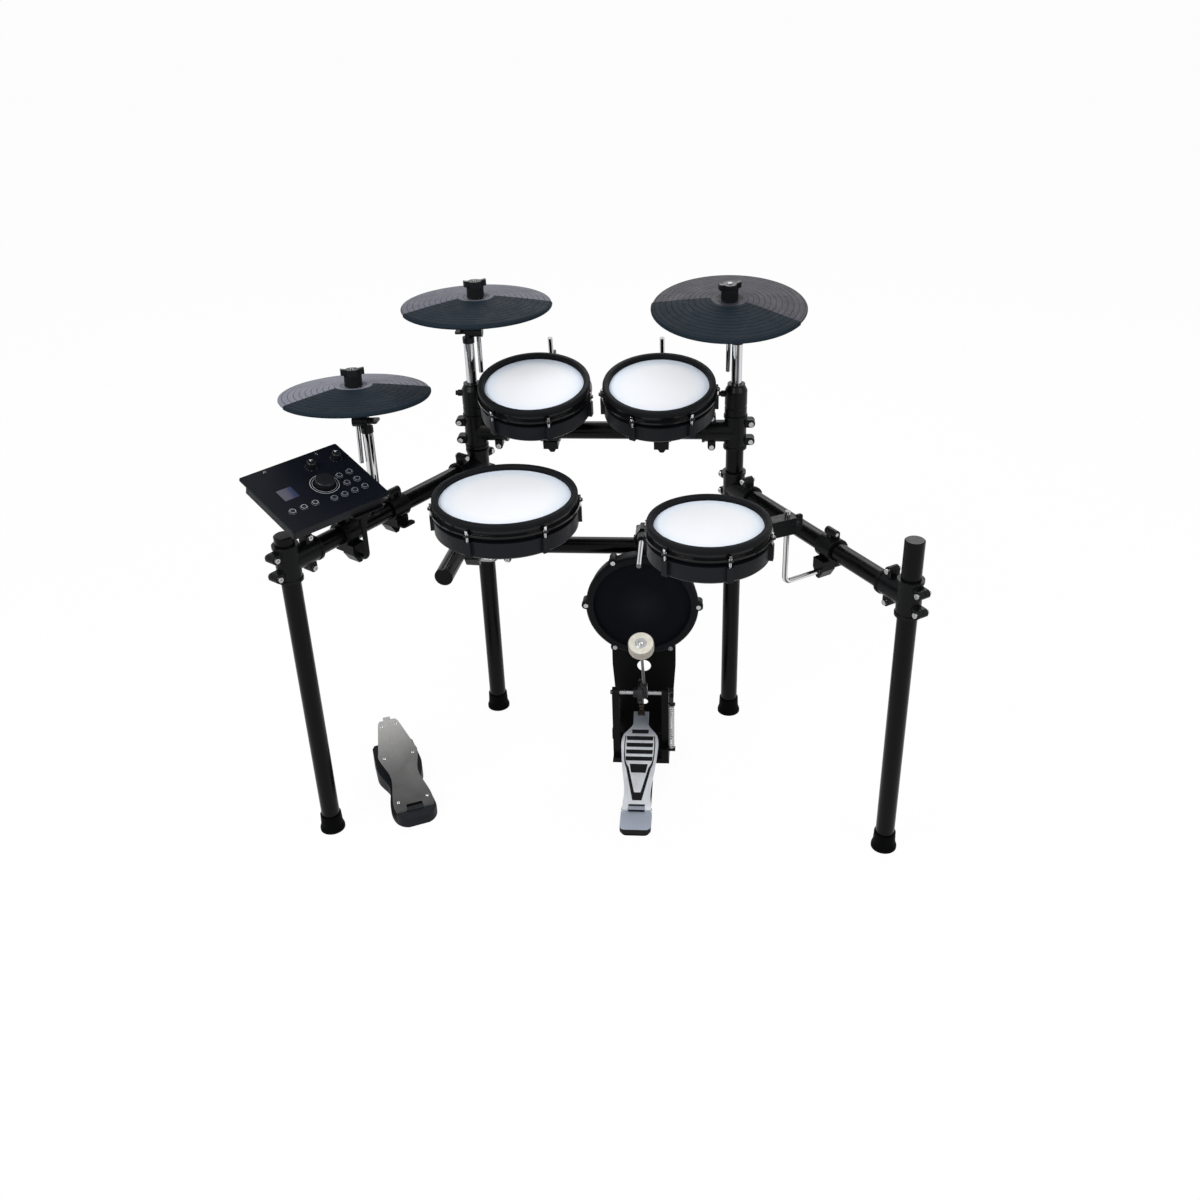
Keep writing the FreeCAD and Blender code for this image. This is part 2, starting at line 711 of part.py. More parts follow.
def pad_head(radius, lug_turn):
    """Mesh head, steel hoop, rubber rim and the key rods."""
    mesh_r = radius - RIM_W - 0.5
    skirt = mesh_r - HEAD_T + 0.2
    top = -HEAD_DROP
    mesh = lathe([(0, top), (mesh_r - 0.6, top), (mesh_r, top - 0.6), (mesh_r, -FLESH_TOP),
                  (radius - 9, -FLESH_TOP), (radius - 9, -FLESH_BOTTOM), (skirt, -FLESH_BOTTOM),
                  (skirt, top - HEAD_T), (0, top - HEAD_T)])
    wall_in = radius - 3 - HOOP_WALL
    wall_out = radius - 3
    flange_low = -FLESH_TOP + SEAT
    flange_high = flange_low + 2.5
    lip_low = -HOOP_BOTTOM
    grip = -HOOP_TOP
    hoop = lathe([(wall_in, lip_low), (radius + HOOP_LIP, lip_low),
                  (radius + HOOP_LIP, lip_low + HOOP_LIP_T),
                  (wall_out, lip_low + HOOP_LIP_T), (wall_out, grip), (wall_in, grip), (wall_in, flange_high),
                  (mesh_r + 0.3, flange_high), (mesh_r + 0.3, flange_low), (wall_in, flange_low)])
    inside = radius - RIM_W
    rim = lathe([(inside, flange_high + SEAT), (wall_in - SEAT, flange_high + SEAT),
                 (wall_in - SEAT, grip + SEAT),
                 (wall_out + SEAT, grip + SEAT), (wall_out + SEAT, -RIM_H), (radius, -RIM_H),
                 (radius, -4), (radius - 1.2, -1.2), (radius - 4, 0), (inside + 4, 0), (inside + 1.2, -1.2),
                 (inside, -4)])
    rods = []
    for k in range(LUGS):
        direction = turned(lug_turn + k * 360 / LUGS)
        x = radius + KEY_ROD_OUT
        ear = cyl(V(x, 0, lip_low), Z, KEY_HEAD_R + 2, HOOP_LIP_T)
        hole = cyl(V(x, 0, lip_low - 1), Z, KEY_ROD_R + SEAT, HOOP_LIP_T + 2)
        hoop = hoop.fuse(set_at([ear], O, direction, Z)[0]).cut(set_at([hole], O, direction, Z)[0])
        seat = lip_low + HOOP_LIP_T + SEAT
        shank = cyl(V(x, 0, -SHELL_BOTTOM + 9), Z, KEY_ROD_R, SHELL_BOTTOM - 9 + seat)
        washer = cyl(V(x, 0, seat), Z, KEY_HEAD_R, 2)
        head = block(x - 2.6, x + 2.6, -2.6, 2.6, seat, seat + KEY_HEAD_H)
        rods += set_at([fused([shank, washer, head])], O, direction, Z)
    hoop = hoop.removeSplitter()
    return [mesh, hoop, rim] + rods


def drum(origin, tube_dir, up_dir, radius, reach, leg, up, swing, rod_top, lug_turn, rear_screw=False):
    """Mount, shell and head solids of one pad held on a tube."""
    frame = axes(origin, tube_dir, up_dir)
    mount = [moved(s, frame) for s in pad_mount(leg, up, rod_top, rear_screw)]
    to_pad = turned(swing) * (radius + reach)
    centre = frame.multVec(V(0, leg, up) + to_pad)
    z_dir = frame.Rotation.multVec(Z)
    y_dir = frame.Rotation.multVec(-to_pad)
    x_dir = y_dir.cross(z_dir)
    local_turn = lug_turn - math.degrees(math.atan2(x_dir.y, x_dir.x))
    shell = set_at(pad_shell(radius, reach, local_turn), centre, x_dir, z_dir)
    head = set_at(pad_head(radius, local_turn), centre, x_dir, z_dir)
    return mount, shell, head


def stand_tube(x, y, low, tilt_z):
    """Chrome tube with the tilter's cap and tongue on its top."""
    top = tilt_z - EYE_R - AIR - CAP_LID - SEAT
    steel = pipe(V(x, y, low), Z, STAND_R, STAND_R - STAND_WALL, top - low)
    sleeve = pipe(V(x, y, top - CAP_LENGTH), Z, CAP_R, STAND_R + SEAT, CAP_LENGTH + SEAT)
    lid = cyl(V(x, y, top + SEAT), Z, CAP_R, CAP_LID)
    tongue = block(x - TONGUE_HALF, x + TONGUE_HALF, y - TONGUE_R, y + TONGUE_R, top + SEAT, tilt_z)
    eye = cyl(V(x - TONGUE_HALF, y, tilt_z), X, TONGUE_R, 2 * TONGUE_HALF)
    cap = fused([sleeve, lid, tongue, eye])
    cap = cap.cut(cyl(V(x - 20, y, tilt_z), X, TILT_BOLT_R + RUN, 40))
    return [steel, cap]


def boom(offset):
    """Rod, tilter eye and screw, ball seat, sleeve and wing nut: origin on the tilter's axis."""
    side = 1 if offset > 0 else -1
    face = side * (TONGUE_HALF + AIR)
    eye = cyl(V(face, 0, 0), X * side, EYE_R, abs(offset) + BOOM_R + 4 - abs(face))
    eye = eye.cut(cyl(V(offset, 0, -2 * EYE_R), Z, BOOM_R + SEAT, 4 * EYE_R))
    bolt_end = offset - side * (BOOM_R + 1.2)
    eye = eye.cut(cyl(V(face - side, 0, 0), X * side, TILT_BOLT_R + SEAT, abs(bolt_end - face) + 1 + SEAT))
    hub = -side * (TONGUE_HALF + AIR)
    screw = wing(V(hub, 0, 0), X * -side, Y, abs(bolt_end - hub))
    rod = cyl(V(offset, 0, -BOOM_DOWN), Z, BOOM_R, BOOM_DOWN + BOOM_UP + BOOM_TOP)
    pivot = V(offset, 0, BOOM_UP)
    ball = Part.makeSphere(BALL_R, pivot)
    ball = ball.common(block(-100, 100, -100, 100, BOOM_UP - BALL_HALF, BOOM_UP + BALL_HALF))
    neck = cyl(V(offset, 0, BOOM_UP - 20), Z, BALL_R - 2, 20 - BALL_HALF + 1)
    ball = ball.fuse(neck).cut(cyl(V(offset, 0, 0), Z, BOOM_R + SEAT, 2 * BOOM_UP)).removeSplitter()
    seat = BOOM_UP + BALL_HALF + SEAT
    washer = pipe(V(offset, 0, seat), Z, WASHER_R, BOOM_R + SEAT, WASHER_T)
    sleeve_low = seat + WASHER_T + SEAT
    sleeve = pipe(V(offset, 0, sleeve_low), Z, SLEEVE_R, BOOM_R + SEAT, SLEEVE_H)
    nut = set_at([wing_nut()], V(offset, 0, sleeve_low + SLEEVE_H + SEAT), turned(NUT_TURN), Z)[0]
    return [eye, rod, ball, sleeve, screw, nut, washer]


def wing_nut():
    """Moulded nut with two thick wings that rise at their ends; origin at its foot."""
    half = NUT_SPAN / 2
    waist = NUT_HUB_R - 3
    outline = [(-half, NUT_FLARE), (-waist, 0), (waist, 0), (half, NUT_FLARE), (half, NUT_H + NUT_FLARE),
               (waist, NUT_H), (-waist, NUT_H), (-half, NUT_H + NUT_FLARE)]
    wings = prism([V(x, -NUT_T / 2, z) for x, z in outline], V(0, NUT_T, 0))
    nut = fused([cyl(O, Z, NUT_HUB_R, NUT_H), wings])
    return nut.cut(cyl(V(0, 0, -1), Z, BOOM_R + SEAT, 2 * NUT_H))


def bow(radius, lift):
    """Profile edge of a cymbal from the bell to the rim, raised by lift."""
    points = [V(BELL_R, 0, lift), V(radius * 0.55, 0, lift - EDGE_DROP * 0.36),
              V(radius, 0, lift - EDGE_DROP)]
    curve = Part.BSplineCurve()
    curve.interpolate(points)
    return curve.toShape()


def ring_solid(edges, angle=360):
    face = Part.Face(Part.Wire(edges))
    return face.revolve(O, Z, angle)


def cymbal(radius, zone):
    """Plate with its bell and hub, and the rubber zone that wraps the edge; origin at the pivot."""
    top = HUB_HALF
    bell_low = top + BELL_RISE
    bottom = -CYMBAL_T
    upper = bow(radius, bell_low)
    lower = bow(radius, bell_low + bottom)
    a = V(BALL_R - 3, 0, top)
    b = V(DISH_R, 0, top)
    c = V(BELL_R, 0, bell_low)
    d = V(radius, 0, bell_low - EDGE_DROP)
    e = V(radius, 0, bell_low + bottom - EDGE_DROP)
    f = V(BELL_R, 0, bell_low + bottom)
    g = V(DISH_R, 0, -HUB_HALF)
    h = V(BALL_R - 3, 0, -HUB_HALF)
    bell_top = Part.Arc(b, V((DISH_R + BELL_R) / 2 + 2, 0, (top + bell_low) / 2 + 2), c).toShape()
    under_z = (bell_low + bottom - HUB_HALF) / 2 + 1.5
    bell_under = Part.Arc(f, V((DISH_R + BELL_R) / 2, 0, under_z), g).toShape()
    middle = (d.z + e.z) / 2
    nose = Part.Arc(d, V(radius + NOSE, 0, middle), e).toShape()
    plate = ring_solid([Part.makeLine(a, b), bell_top, upper, nose, lower, bell_under,
                        Part.makeLine(g, h), Part.makeLine(h, a)])
    plate = plate.cut(Part.makeSphere(BALL_R + RUN, O))
    low = bow(radius, bell_low + SEAT)
    high = bow(radius, bell_low + RUBBER_T)
    p = [V(BELL_R, 0, bell_low + SEAT), V(BELL_R, 0, bell_low + RUBBER_T)]
    q = [V(radius, 0, bell_low + SEAT - EDGE_DROP), V(radius, 0, bell_low + RUBBER_T - EDGE_DROP)]
    lip = [V(radius, 0, e.z - SEAT), V(radius, 0, e.z - RUBBER_T)]
    under = Part.Arc(q[0], V(radius + NOSE + SEAT, 0, middle), lip[0]).toShape()
    outer = Part.Arc(lip[1], V(radius + NOSE + RUBBER_T, 0, middle), q[1]).toShape()
    rubber = ring_solid([low, under, Part.makeLine(lip[0], lip[1]), outer, high, Part.makeLine(p[1], p[0])],
                        RUBBER_ANGLE)
    rubber.rotate(O, Z, zone - 90 - RUBBER_ANGLE / 2)
    return [plate, rubber]


def stand_head(x, y, tilt_z, offset, lean, radius, zone):
    """Boom and cymbal solids of one stand."""
    up_dir = V(0, -math.sin(math.radians(lean)), math.cos(math.radians(lean)))
    origin = V(x, y, tilt_z)
    pivot = axes(origin, X, up_dir).multVec(V(offset, 0, BOOM_UP))
    return set_at(boom(offset), origin, X, up_dir), set_at(cymbal(radius, zone), pivot, X, up_dir)


def side_holder(arm_point):
    """Rack clamp on the left arm whose jaw carries a sleeve for the hi-hat stand's tube."""
    spot = V(HIHAT_X, HIHAT_Y, arm_point.z)
    out = unit(spot - arm_point)
    reach = (spot - arm_point).Length
    sleeve = cyl(V(0, reach, -HOLDER_HALF), Z, HOLDER_R, 2 * HOLDER_HALF)
    neck = HOLDER_HALF - CAP_H
    web = block(-HOLDER_R + CAP_H, HOLDER_R - CAP_H, CLAMP_SPLIT, reach, -neck, neck)
    front, jaw, pin, screw = rack_clamp(ROD_R, [sleeve, web])
    jaw = jaw.cut(cyl(V(0, reach, -2 * HOLDER_HALF), Z, STAND_R + RUN, 4 * HOLDER_HALF))
    jaw = jaw.cut(cyl(V(0, reach, 0), Y, WING_R + SEAT, 2 * HOLDER_R)).removeSplitter()
    stop = wing(V(0, reach + HOLDER_R, 0), Y, X, HOLDER_R - STAND_R - TIP_GAP)
    return set_at([front, jaw, pin, screw, stop], arm_point, out.cross(Z), Z)


def kick_pad():
    """Shell, rim ring, screws and head: Z towards the player, Y up."""
    back = -KICK_DEPTH
    ring_low = -KICK_RING_T
    shell = lathe([(0, back), (KICK_SHELL_R - 5, back), (KICK_SHELL_R, back + 5),
                   (KICK_SHELL_R, ring_low - SEAT),
                   (KICK_LIP_R + 2, ring_low - SEAT), (KICK_LIP_R + 2, back + 4), (0, back + 4)])
    head_top = ring_low + KICK_HEAD_T + SEAT
    ring = lathe([(KICK_LIP_R, 0), (KICK_R - 4, 0), (KICK_R, -4), (KICK_R, ring_low),
                  (KICK_HEAD_R + SEAT, ring_low), (KICK_HEAD_R + SEAT, head_top), (KICK_LIP_R, head_top)])
    screws = []
    for k in range(KICK_EARS):
        direction = turned(60 * k)
        spot = direction * KICK_R
        ring = ring.fuse(cyl(V(spot.x, spot.y, ring_low), Z, KICK_EAR_R, KICK_RING_T - KICK_SCREW_H))
        ear_low = back + 12
        shell = shell.fuse(cyl(V(spot.x, spot.y, ear_low), Z, KICK_EAR_R - 1, ring_low - SEAT - ear_low))
        through = cyl(V(spot.x, spot.y, back), Z, BOLT_R + SEAT, KICK_DEPTH + 1)
        pocket = cyl(V(spot.x, spot.y, -KICK_SCREW_H), Z, BOLT_HEAD_R + SEAT, 2 * KICK_SCREW_H)
        ring = ring.cut(through).cut(pocket)
        shell = shell.cut(through)
        shank = cyl(V(spot.x, spot.y, back + 13), Z, BOLT_R, KICK_DEPTH - 13 - KICK_SCREW_H + SEAT)
        top = cyl(V(spot.x, spot.y, -KICK_SCREW_H + SEAT), Z, BOLT_HEAD_R, KICK_SCREW_H)
        screws.append(fused([shank, top]))
    ring = ring.cut(cyl(V(0, 0, ring_low), Z, KICK_HEAD_R + SEAT, KICK_HEAD_T + SEAT))
    brace = LOWER_BAR_Z + ROD_DROP - KICK_Z
    tab_low = back + 3
    tab_high = ring_low - 6
    tab = fused([block(-TAB_R + 1, TAB_R - 1, KICK_SHELL_R - 6, brace, tab_low, tab_high),
                 cyl(V(0, brace, tab_low), Z, TAB_R, tab_high - tab_low)])
    rod_hole = cyl(V(0, brace, back - 1), Z, ROD_R + SEAT, KICK_DEPTH + 2)
    shell = shell.fuse(tab).cut(rod_hole).removeSplitter()
    head = cyl(V(0, 0, ring_low), Z, KICK_HEAD_R, KICK_HEAD_T)
    foam = cyl(V(0, 0, back + 4 + SEAT), Z, KICK_LIP_R - 2, KICK_DEPTH - 4 - KICK_RING_T - 2 * SEAT)
    origin = V(KICK_X, KICK_FRONT_Y, KICK_Z)
    body = set_at([shell, ring.removeSplitter()] + screws, origin, X, -Y)
    return body, set_at([head, foam], origin, X, -Y)


def kick_tower():
    """Bent steel tower behind the pad, its foot plate and two side screws."""
    front = KICK_FRONT_Y + KICK_DEPTH + SEAT
    back = front + TOWER_T
    ear_x = TOWER_FOOT_HALF - SPUR_IN
    outline = [V(-TOWER_FOOT_HALF, front, 0), V(TOWER_FOOT_HALF, front, 0),
               V(TOWER_TOP_HALF, front, TOWER_TOP_Z / 2),
               V(TOWER_TOP_HALF, front, TOWER_TOP_Z), V(-TOWER_TOP_HALF, front, TOWER_TOP_Z),
               V(-TOWER_TOP_HALF, front, TOWER_TOP_Z / 2)]
    plate = prism(outline, V(0, TOWER_T, 0))
    plate = plate.cut(cyl(V(0, front - 1, TOWER_HOLE_Z), Y, TOWER_HOLE_R, TOWER_T + 2))
    plate = plate.cut(cyl(V(0, front - 1, TOWER_SMALL_Z), Y, TOWER_SMALL_R, TOWER_T + 2))
    parts = [plate, block(-TOWER_FOOT_HALF, TOWER_FOOT_HALF, TOWER_FRONT_Y, back, 0, TOWER_BASE_T)]
    for side in (-1, 1):
        x = side * TOWER_FOOT_HALF
        edge = [V(x, back - 1, 0), V(x, back + TOWER_FLANGE, 0), V(x, back + TOWER_FLANGE, TOWER_TOP_Z * 0.7),
                V(x, back - 1, TOWER_TOP_Z)]
        parts.append(prism(edge, V(-side * TOWER_T, 0, 0)))
        ear = block(ear_x - 6, ear_x, SPUR_Y - 12, SPUR_Y + 12, 0, SPUR_Z + 12)
        ear = ear.cut(cyl(V(ear_x - 10, SPUR_Y, SPUR_Z), X, WING_R + SEAT, 20))
        parts.append(ear if side > 0 else ear.mirror(O, X))
    tower = fused(parts)
    screws = []
    for side in (-1, 1):
        screws.append(wing(V(side * ear_x, SPUR_Y, SPUR_Z), X * side, Z, 14))
    place = axes(V(KICK_X, 0, 0), X, Z)
    return [moved(s, place) for s in [tower] + screws]


def kick_brace():
    """Clamp on the lower bar, turned rod side up, with the rod through the pad's tab."""
    rod = cyl(V(0, CLAMP_SPLIT, -ROD_DROP), Y, ROD_R, BRACE_ROD_LENGTH - CLAMP_SPLIT)
    return set_at(rack_clamp(ROD_R) + [rod], V(KICK_X, 0, LOWER_BAR_Z), X, -Z)


def rounded_heel(plate):
    """Plate with its two upright corners at the heel's end rounded."""
    corners = [e for e in plate.Edges if max(v.Y for v in e.Vertexes) < HEEL_Y + 1
               and abs(e.Vertexes[0].Z - e.Vertexes[-1].Z) > 1]
    return plate.makeFillet(HEEL_ROUND, corners)


def pedal_frame():
    """Pedal's front plate, uprights, rail, heel and hinge pin."""
    low = TOWER_BASE_T + SEAT
    plate_top = low + PEDAL_PLATE_T
    plate = block(-PEDAL_PLATE_HALF, PEDAL_PLATE_HALF, TOWER_FRONT_Y, AXLE_Y + 26, low, plate_top)
    parts = [plate]
    for side in (-1, 1):
        x0 = side * UPRIGHT_IN if side > 0 else -UPRIGHT_IN - UPRIGHT_W
        parts.append(block(x0, x0 + UPRIGHT_W, AXLE_Y - UPRIGHT_HALF_D, AXLE_Y + UPRIGHT_HALF_D,
                           low, AXLE_Z))
        parts.append(cyl(V(x0, AXLE_Y, AXLE_Z), X, UPRIGHT_HALF_D, UPRIGHT_W))
    anchor_y = AXLE_Y - LEVER_REACH
    shelf = SPRING_ANCHOR_Z - SPRING_SEAT_T
    near = anchor_y - SPRING_SEAT_R
    parts.append(block(UPRIGHT_IN, LEVER_X + SPRING_SEAT_R, near, anchor_y + SPRING_SEAT_R,
                       shelf, SPRING_ANCHOR_Z))
    parts.append(block(UPRIGHT_IN, UPRIGHT_IN + UPRIGHT_W, near, AXLE_Y, low, SPRING_ANCHOR_Z))
    front_web = block(-RAIL_HALF, RAIL_HALF, TOWER_FRONT_Y - 6, TOWER_FRONT_Y, 0, plate_top)
    rail = rounded_heel(block(-RAIL_HALF, RAIL_HALF, HEEL_Y, TOWER_FRONT_Y - SEAT, 0, RAIL_T))
    frame = fused(parts + [front_web, rail])
    frame = frame.cut(cyl(V(-2 * UPRIGHT_IN, AXLE_Y, AXLE_Z), X, AXLE_R + RUN, 4 * UPRIGHT_IN))
    back = HINGE_Y - HINGE_R - 1.5
    heel = [rounded_heel(block(-HEEL_HALF, HEEL_HALF, HEEL_Y, back, RAIL_T + SEAT, HINGE_Z + 1)),
            block(-KNUCKLE_X, KNUCKLE_X, back - 1, HINGE_Y, RAIL_T + SEAT, HINGE_Z + HINGE_R),
            cyl(V(-KNUCKLE_X, HINGE_Y, HINGE_Z), X, HINGE_R, 2 * KNUCKLE_X)]
    heel_block = fused(heel).cut(cyl(V(-50, HINGE_Y, HINGE_Z), X, HINGE_PIN_R + SEAT, 100))
    pin = cyl(V(-HEEL_HALF, HINGE_Y, HINGE_Z), X, HINGE_PIN_R, 2 * HEEL_HALF)
    place = axes(V(KICK_X, 0, 0), X, Z)
    return [moved(s, place) for s in (frame, heel_block, pin)]


BOARD_TOE = (AXLE_Y + CHAIN_R - HINGE_Y) / math.cos(math.radians(BOARD_RISE))


def bar_outline(low_half, low, high_half, high):
    return [(-low_half, low), (low_half, low), (high_half, high), (-high_half, high)]


def footboard():
    """Pedal board in its own plane, Y from the hinge to the toe, with its dark inlays."""
    neck = BOARD_TOE - NECK_LENGTH
    side = HEEL_HALF - 2
    half = [(side, 2 - HINGE_R), (side - 0.5, 10), (BOARD_HEEL_HALF, 34), (BOARD_HEEL_HALF + 1.5, 58),
            (BOARD_WIDE_HALF - 5, 95),
            (BOARD_WIDE_HALF - 1, BOARD_WIDE_AT - 35), (BOARD_WIDE_HALF, BOARD_WIDE_AT),
            (BOARD_WIDE_HALF - 3, BOARD_WIDE_AT + 12), (NECK_HALF + 6, neck - 12), (NECK_HALF, neck)]
    low = BOARD_LIFT
    notch = KNUCKLE_X + AIR
    board = plan(half, low, BOARD_T, [(NECK_HALF, BOARD_TOE)])
    board = board.cut(block(-notch, notch, -BOARD_TOE, HINGE_R + 2, low - 1, low + BOARD_T + 1))
    board = fused([board] + [cyl(V(x0, 0, 0), X, HINGE_R, side - notch) for x0 in (-side, notch)])
    board = board.cut(cyl(V(-2 * HEEL_HALF, 0, 0), X, HINGE_PIN_R + RUN, 4 * HEEL_HALF))
    outlines = []
    for k in range(BOARD_BARS):
        y = BAR_FIRST + k * BAR_PITCH
        wide = BAR_HALF if k < BOARD_BARS - 1 else BAR_LAST_HALF
        outlines.append(bar_outline(wide - BAR_TAPER, y, wide, y + BAR_W))
    outlines.append(bar_outline(SHIELD_TIP_HALF, SHIELD_LOW, SHIELD_HALF, BAR_FIRST - SHIELD_GAP))
    outlines.append([(-VEE_TIP_HALF, VEE_LOW), (VEE_TIP_HALF, VEE_LOW), (VEE_HALF, VEE_TOP),
                     (VEE_HALF - VEE_W, VEE_TOP), (VEE_TIP_HALF - VEE_W / 2, VEE_LOW + VEE_TIP),
                     (VEE_W / 2 - VEE_TIP_HALF, VEE_LOW + VEE_TIP), (VEE_W - VEE_HALF, VEE_TOP),
                     (-VEE_HALF, VEE_TOP)])
    floor = low + BOARD_T - INLAY_DEEP
    inlays = []
    for outline in outlines:
        pocket = prism([V(x, y, floor) for x, y in outline], V(0, 0, 2 * INLAY_DEEP))
        board = board.cut(pocket)
        inlays.append(prism([V(x, y, floor + SEAT) for x, y in outline], V(0, 0, INLAY_DEEP - INLAY_SUNK)))
    clip = block(-CLIP_HALF, CLIP_HALF, BOARD_TOE - CLIP_LENGTH, BOARD_TOE, low + BOARD_T + SEAT, BOARD_T + 7)
    rise = math.radians(BOARD_RISE)
    normal = V(0, -math.sin(rise), math.cos(rise))
    return set_at([board, clip] + inlays, V(KICK_X, HINGE_Y, HINGE_Z), X, normal)


def tooth_turn():
    """Angle from one chain pin to the next, on the sprocket."""
    return math.degrees(chain_pitch() / CHAIN_R)


def beater():
    """Axle, sprocket, spring lever, shaft and felt: origin on the axle, Z along the shaft."""
    left = -UPRIGHT_IN - UPRIGHT_W - AXLE_END
    axle = cyl(V(left, 0, 0), X, AXLE_R, LEVER_X + LEVER_HALF - left)
    hub = cyl(V(-HUB_LENGTH / 2, 0, 0), X, HUB_R, HUB_LENGTH)
    wheel = cyl(V(-SPROCKET_HALF, 0, 0), X, CHAIN_R - LINK_R - AIR, 2 * SPROCKET_HALF)
    parts = [axle, hub, wheel]
    for k in range(CHAIN_WRAP + SPROCKET_TEETH):
        tooth = block(-LINK_IN + AIR, LINK_IN - AIR, -TOOTH_HALF, TOOTH_HALF, CHAIN_R - 2 * LINK_R, CHAIN_R)
        tooth.rotate(O, X, (k - SPROCKET_TEETH + 0.5) * tooth_turn() - 90 - BEATER_LEAN)
        parts.append(tooth)
    lean = math.radians(BEATER_LEAN)
    lever_dir = V(0, -math.cos(lean), math.sin(lean))
    boss = cyl(V(LEVER_X - LEVER_HALF, 0, 0), X, LEVER_R * 2, 2 * LEVER_HALF)
    arm = block(LEVER_X - LEVER_HALF, LEVER_X + LEVER_HALF, -LEVER_REACH, 0, -LEVER_R, LEVER_R)
    arm.rotate(O, X, -BEATER_LEAN)
    tip = cyl(V(LEVER_X - LEVER_HALF, 0, 0) + lever_dir * LEVER_REACH, X, LEVER_R, 2 * LEVER_HALF)
    hang = set_at([cyl(V(0, 0, -SEAT_DROP), Z, SPRING_SEAT_R, SPRING_SEAT_T),
                   cyl(V(0, 0, -SEAT_DROP), Z, LEVER_HALF, SEAT_DROP)],
                  V(LEVER_X, 0, 0) + lever_dir * LEVER_REACH, X, V(0, math.sin(lean), math.cos(lean)))
    parts += [boss, arm, tip] + hang
    foot = V(BEATER_SIDE, 0, 0)
    parts.append(cyl(foot, Z, SHAFT_CLAMP_R, SHAFT_CLAMP_UP))
    steel = fused(parts).cut(cyl(foot, Z, BEATER_SHAFT_R + SEAT, 2 * SHAFT_CLAMP_UP))
    shaft = cyl(foot + Z * SEAT, Z, BEATER_SHAFT_R, BEATER_REACH - SEAT)
    felt = cyl(foot + Z * (BEATER_REACH - FELT_LENGTH), Z, FELT_R, FELT_LENGTH)
    felt = felt.makeFillet(FELT_EDGE, [e for e in felt.Edges if e.Length > FELT_R and len(e.Vertexes) == 1])
    felt = felt.cut(cyl(foot, Z, BEATER_SHAFT_R + SEAT, 2 * BEATER_REACH))
    nut_top = FELT_STUD_T + FELT_NUT_H
    stud = lathe([(0, 0), (FELT_STUD_R, 0), (FELT_STUD_R - 1.5, FELT_STUD_T), (FELT_NUT_R, FELT_STUD_T),
                  (FELT_NUT_R, nut_top - 2), (FELT_NUT_R / 2, nut_top), (0, nut_top)])
    stud.translate(foot + Z * (BEATER_REACH + SEAT))
    up_dir = V(0, -math.sin(lean), math.cos(lean))
    return set_at([steel, shaft, felt, stud], V(KICK_X, AXLE_Y, AXLE_Z), X, up_dir)


def chain_low():
    """Height of the chain's lowest pin, just above the board's toe clip."""
    return HINGE_Z + BOARD_TOE * math.sin(math.radians(BOARD_RISE)) + BOARD_T + 2 * LINK_R


def chain_pitch():
    return (AXLE_Z - chain_low()) / CHAIN_LINKS


def chain():
    """Roller chain from the board's toe up and over the pad side of the sprocket."""
    low = chain_low()
    pitch = chain_pitch()
    stops = [V(0, AXLE_Y + CHAIN_R, low + k * pitch) for k in range(CHAIN_LINKS + 1)]
    step = pitch / CHAIN_R
    for k in range(1, CHAIN_WRAP + 1):
        stops.append(V(0, AXLE_Y + CHAIN_R * math.cos(k * step), AXLE_Z + CHAIN_R * math.sin(k * step)))
    links = []
    for k, (start, end) in enumerate(zip(stops, stops[1:])):
        run = end - start
        inner = LINK_IN + (k % 2) * (LINK_PLATE_T + 0.3)
        parts = []
        for x in (inner, -inner - LINK_PLATE_T):
            parts.append(cyl(V(x, 0, 0), X, LINK_R, LINK_PLATE_T))
            parts.append(cyl(V(x, 0, run.Length), X, LINK_R, LINK_PLATE_T))
            parts.append(block(x, x + LINK_PLATE_T, -LINK_R * 0.7, LINK_R * 0.7, 0, run.Length))
        pin_half = LINK_IN + 2 * LINK_PLATE_T + 0.4
        if k % 2:
            parts.append(cyl(V(-pin_half, 0, 0), X, LINK_PIN_R, 2 * pin_half))
            parts.append(cyl(V(-pin_half, 0, run.Length), X, LINK_PIN_R, 2 * pin_half))
            link = fused(parts)
        else:
            parts.append(cyl(V(-LINK_IN, 0, 0), X, ROLLER_R, 2 * LINK_IN))
            parts.append(cyl(V(-LINK_IN, 0, run.Length), X, ROLLER_R, 2 * LINK_IN))
            link = fused(parts)
            for z in (0, run.Length):
                link = link.cut(cyl(V(-10, 0, z), X, LINK_PIN_R + 0.1, 20))
        links += set_at([link], start, X, run)
    place = axes(V(KICK_X, 0, 0), X, Z)
    return [moved(s, place) for s in links]


def biarc(start, start_dir, end, end_dir):
    """Two arcs that leave and arrive along the given directions."""
    chord = end - start
    both = start_dir + end_dir
    bend = 2 * (1 - start_dir.dot(end_dir))
    reach = (math.sqrt(chord.dot(both) ** 2 + bend * chord.dot(chord)) - chord.dot(both)) / bend
    corners = [start + start_dir * reach, end - end_dir * reach]
    joint = (corners[0] + corners[1]) * 0.5
    arcs = []
    for low, corner, high in ((start, corners[0], joint), (joint, corners[1], end)):
        half = (high - low).Length / 2
        middle = (low + high) * 0.5
        sag = half * math.tan(math.acos(min(1, half / reach)) / 2)
        arcs.append(Part.Arc(low, middle + unit(corner - middle) * sag, high).toShape())
    return arcs


def spring_ends():
    """Heights of the two flat seats that the spring stands between."""
    return SPRING_ANCHOR_Z + SEAT, AXLE_Z - SEAT_DROP - SEAT


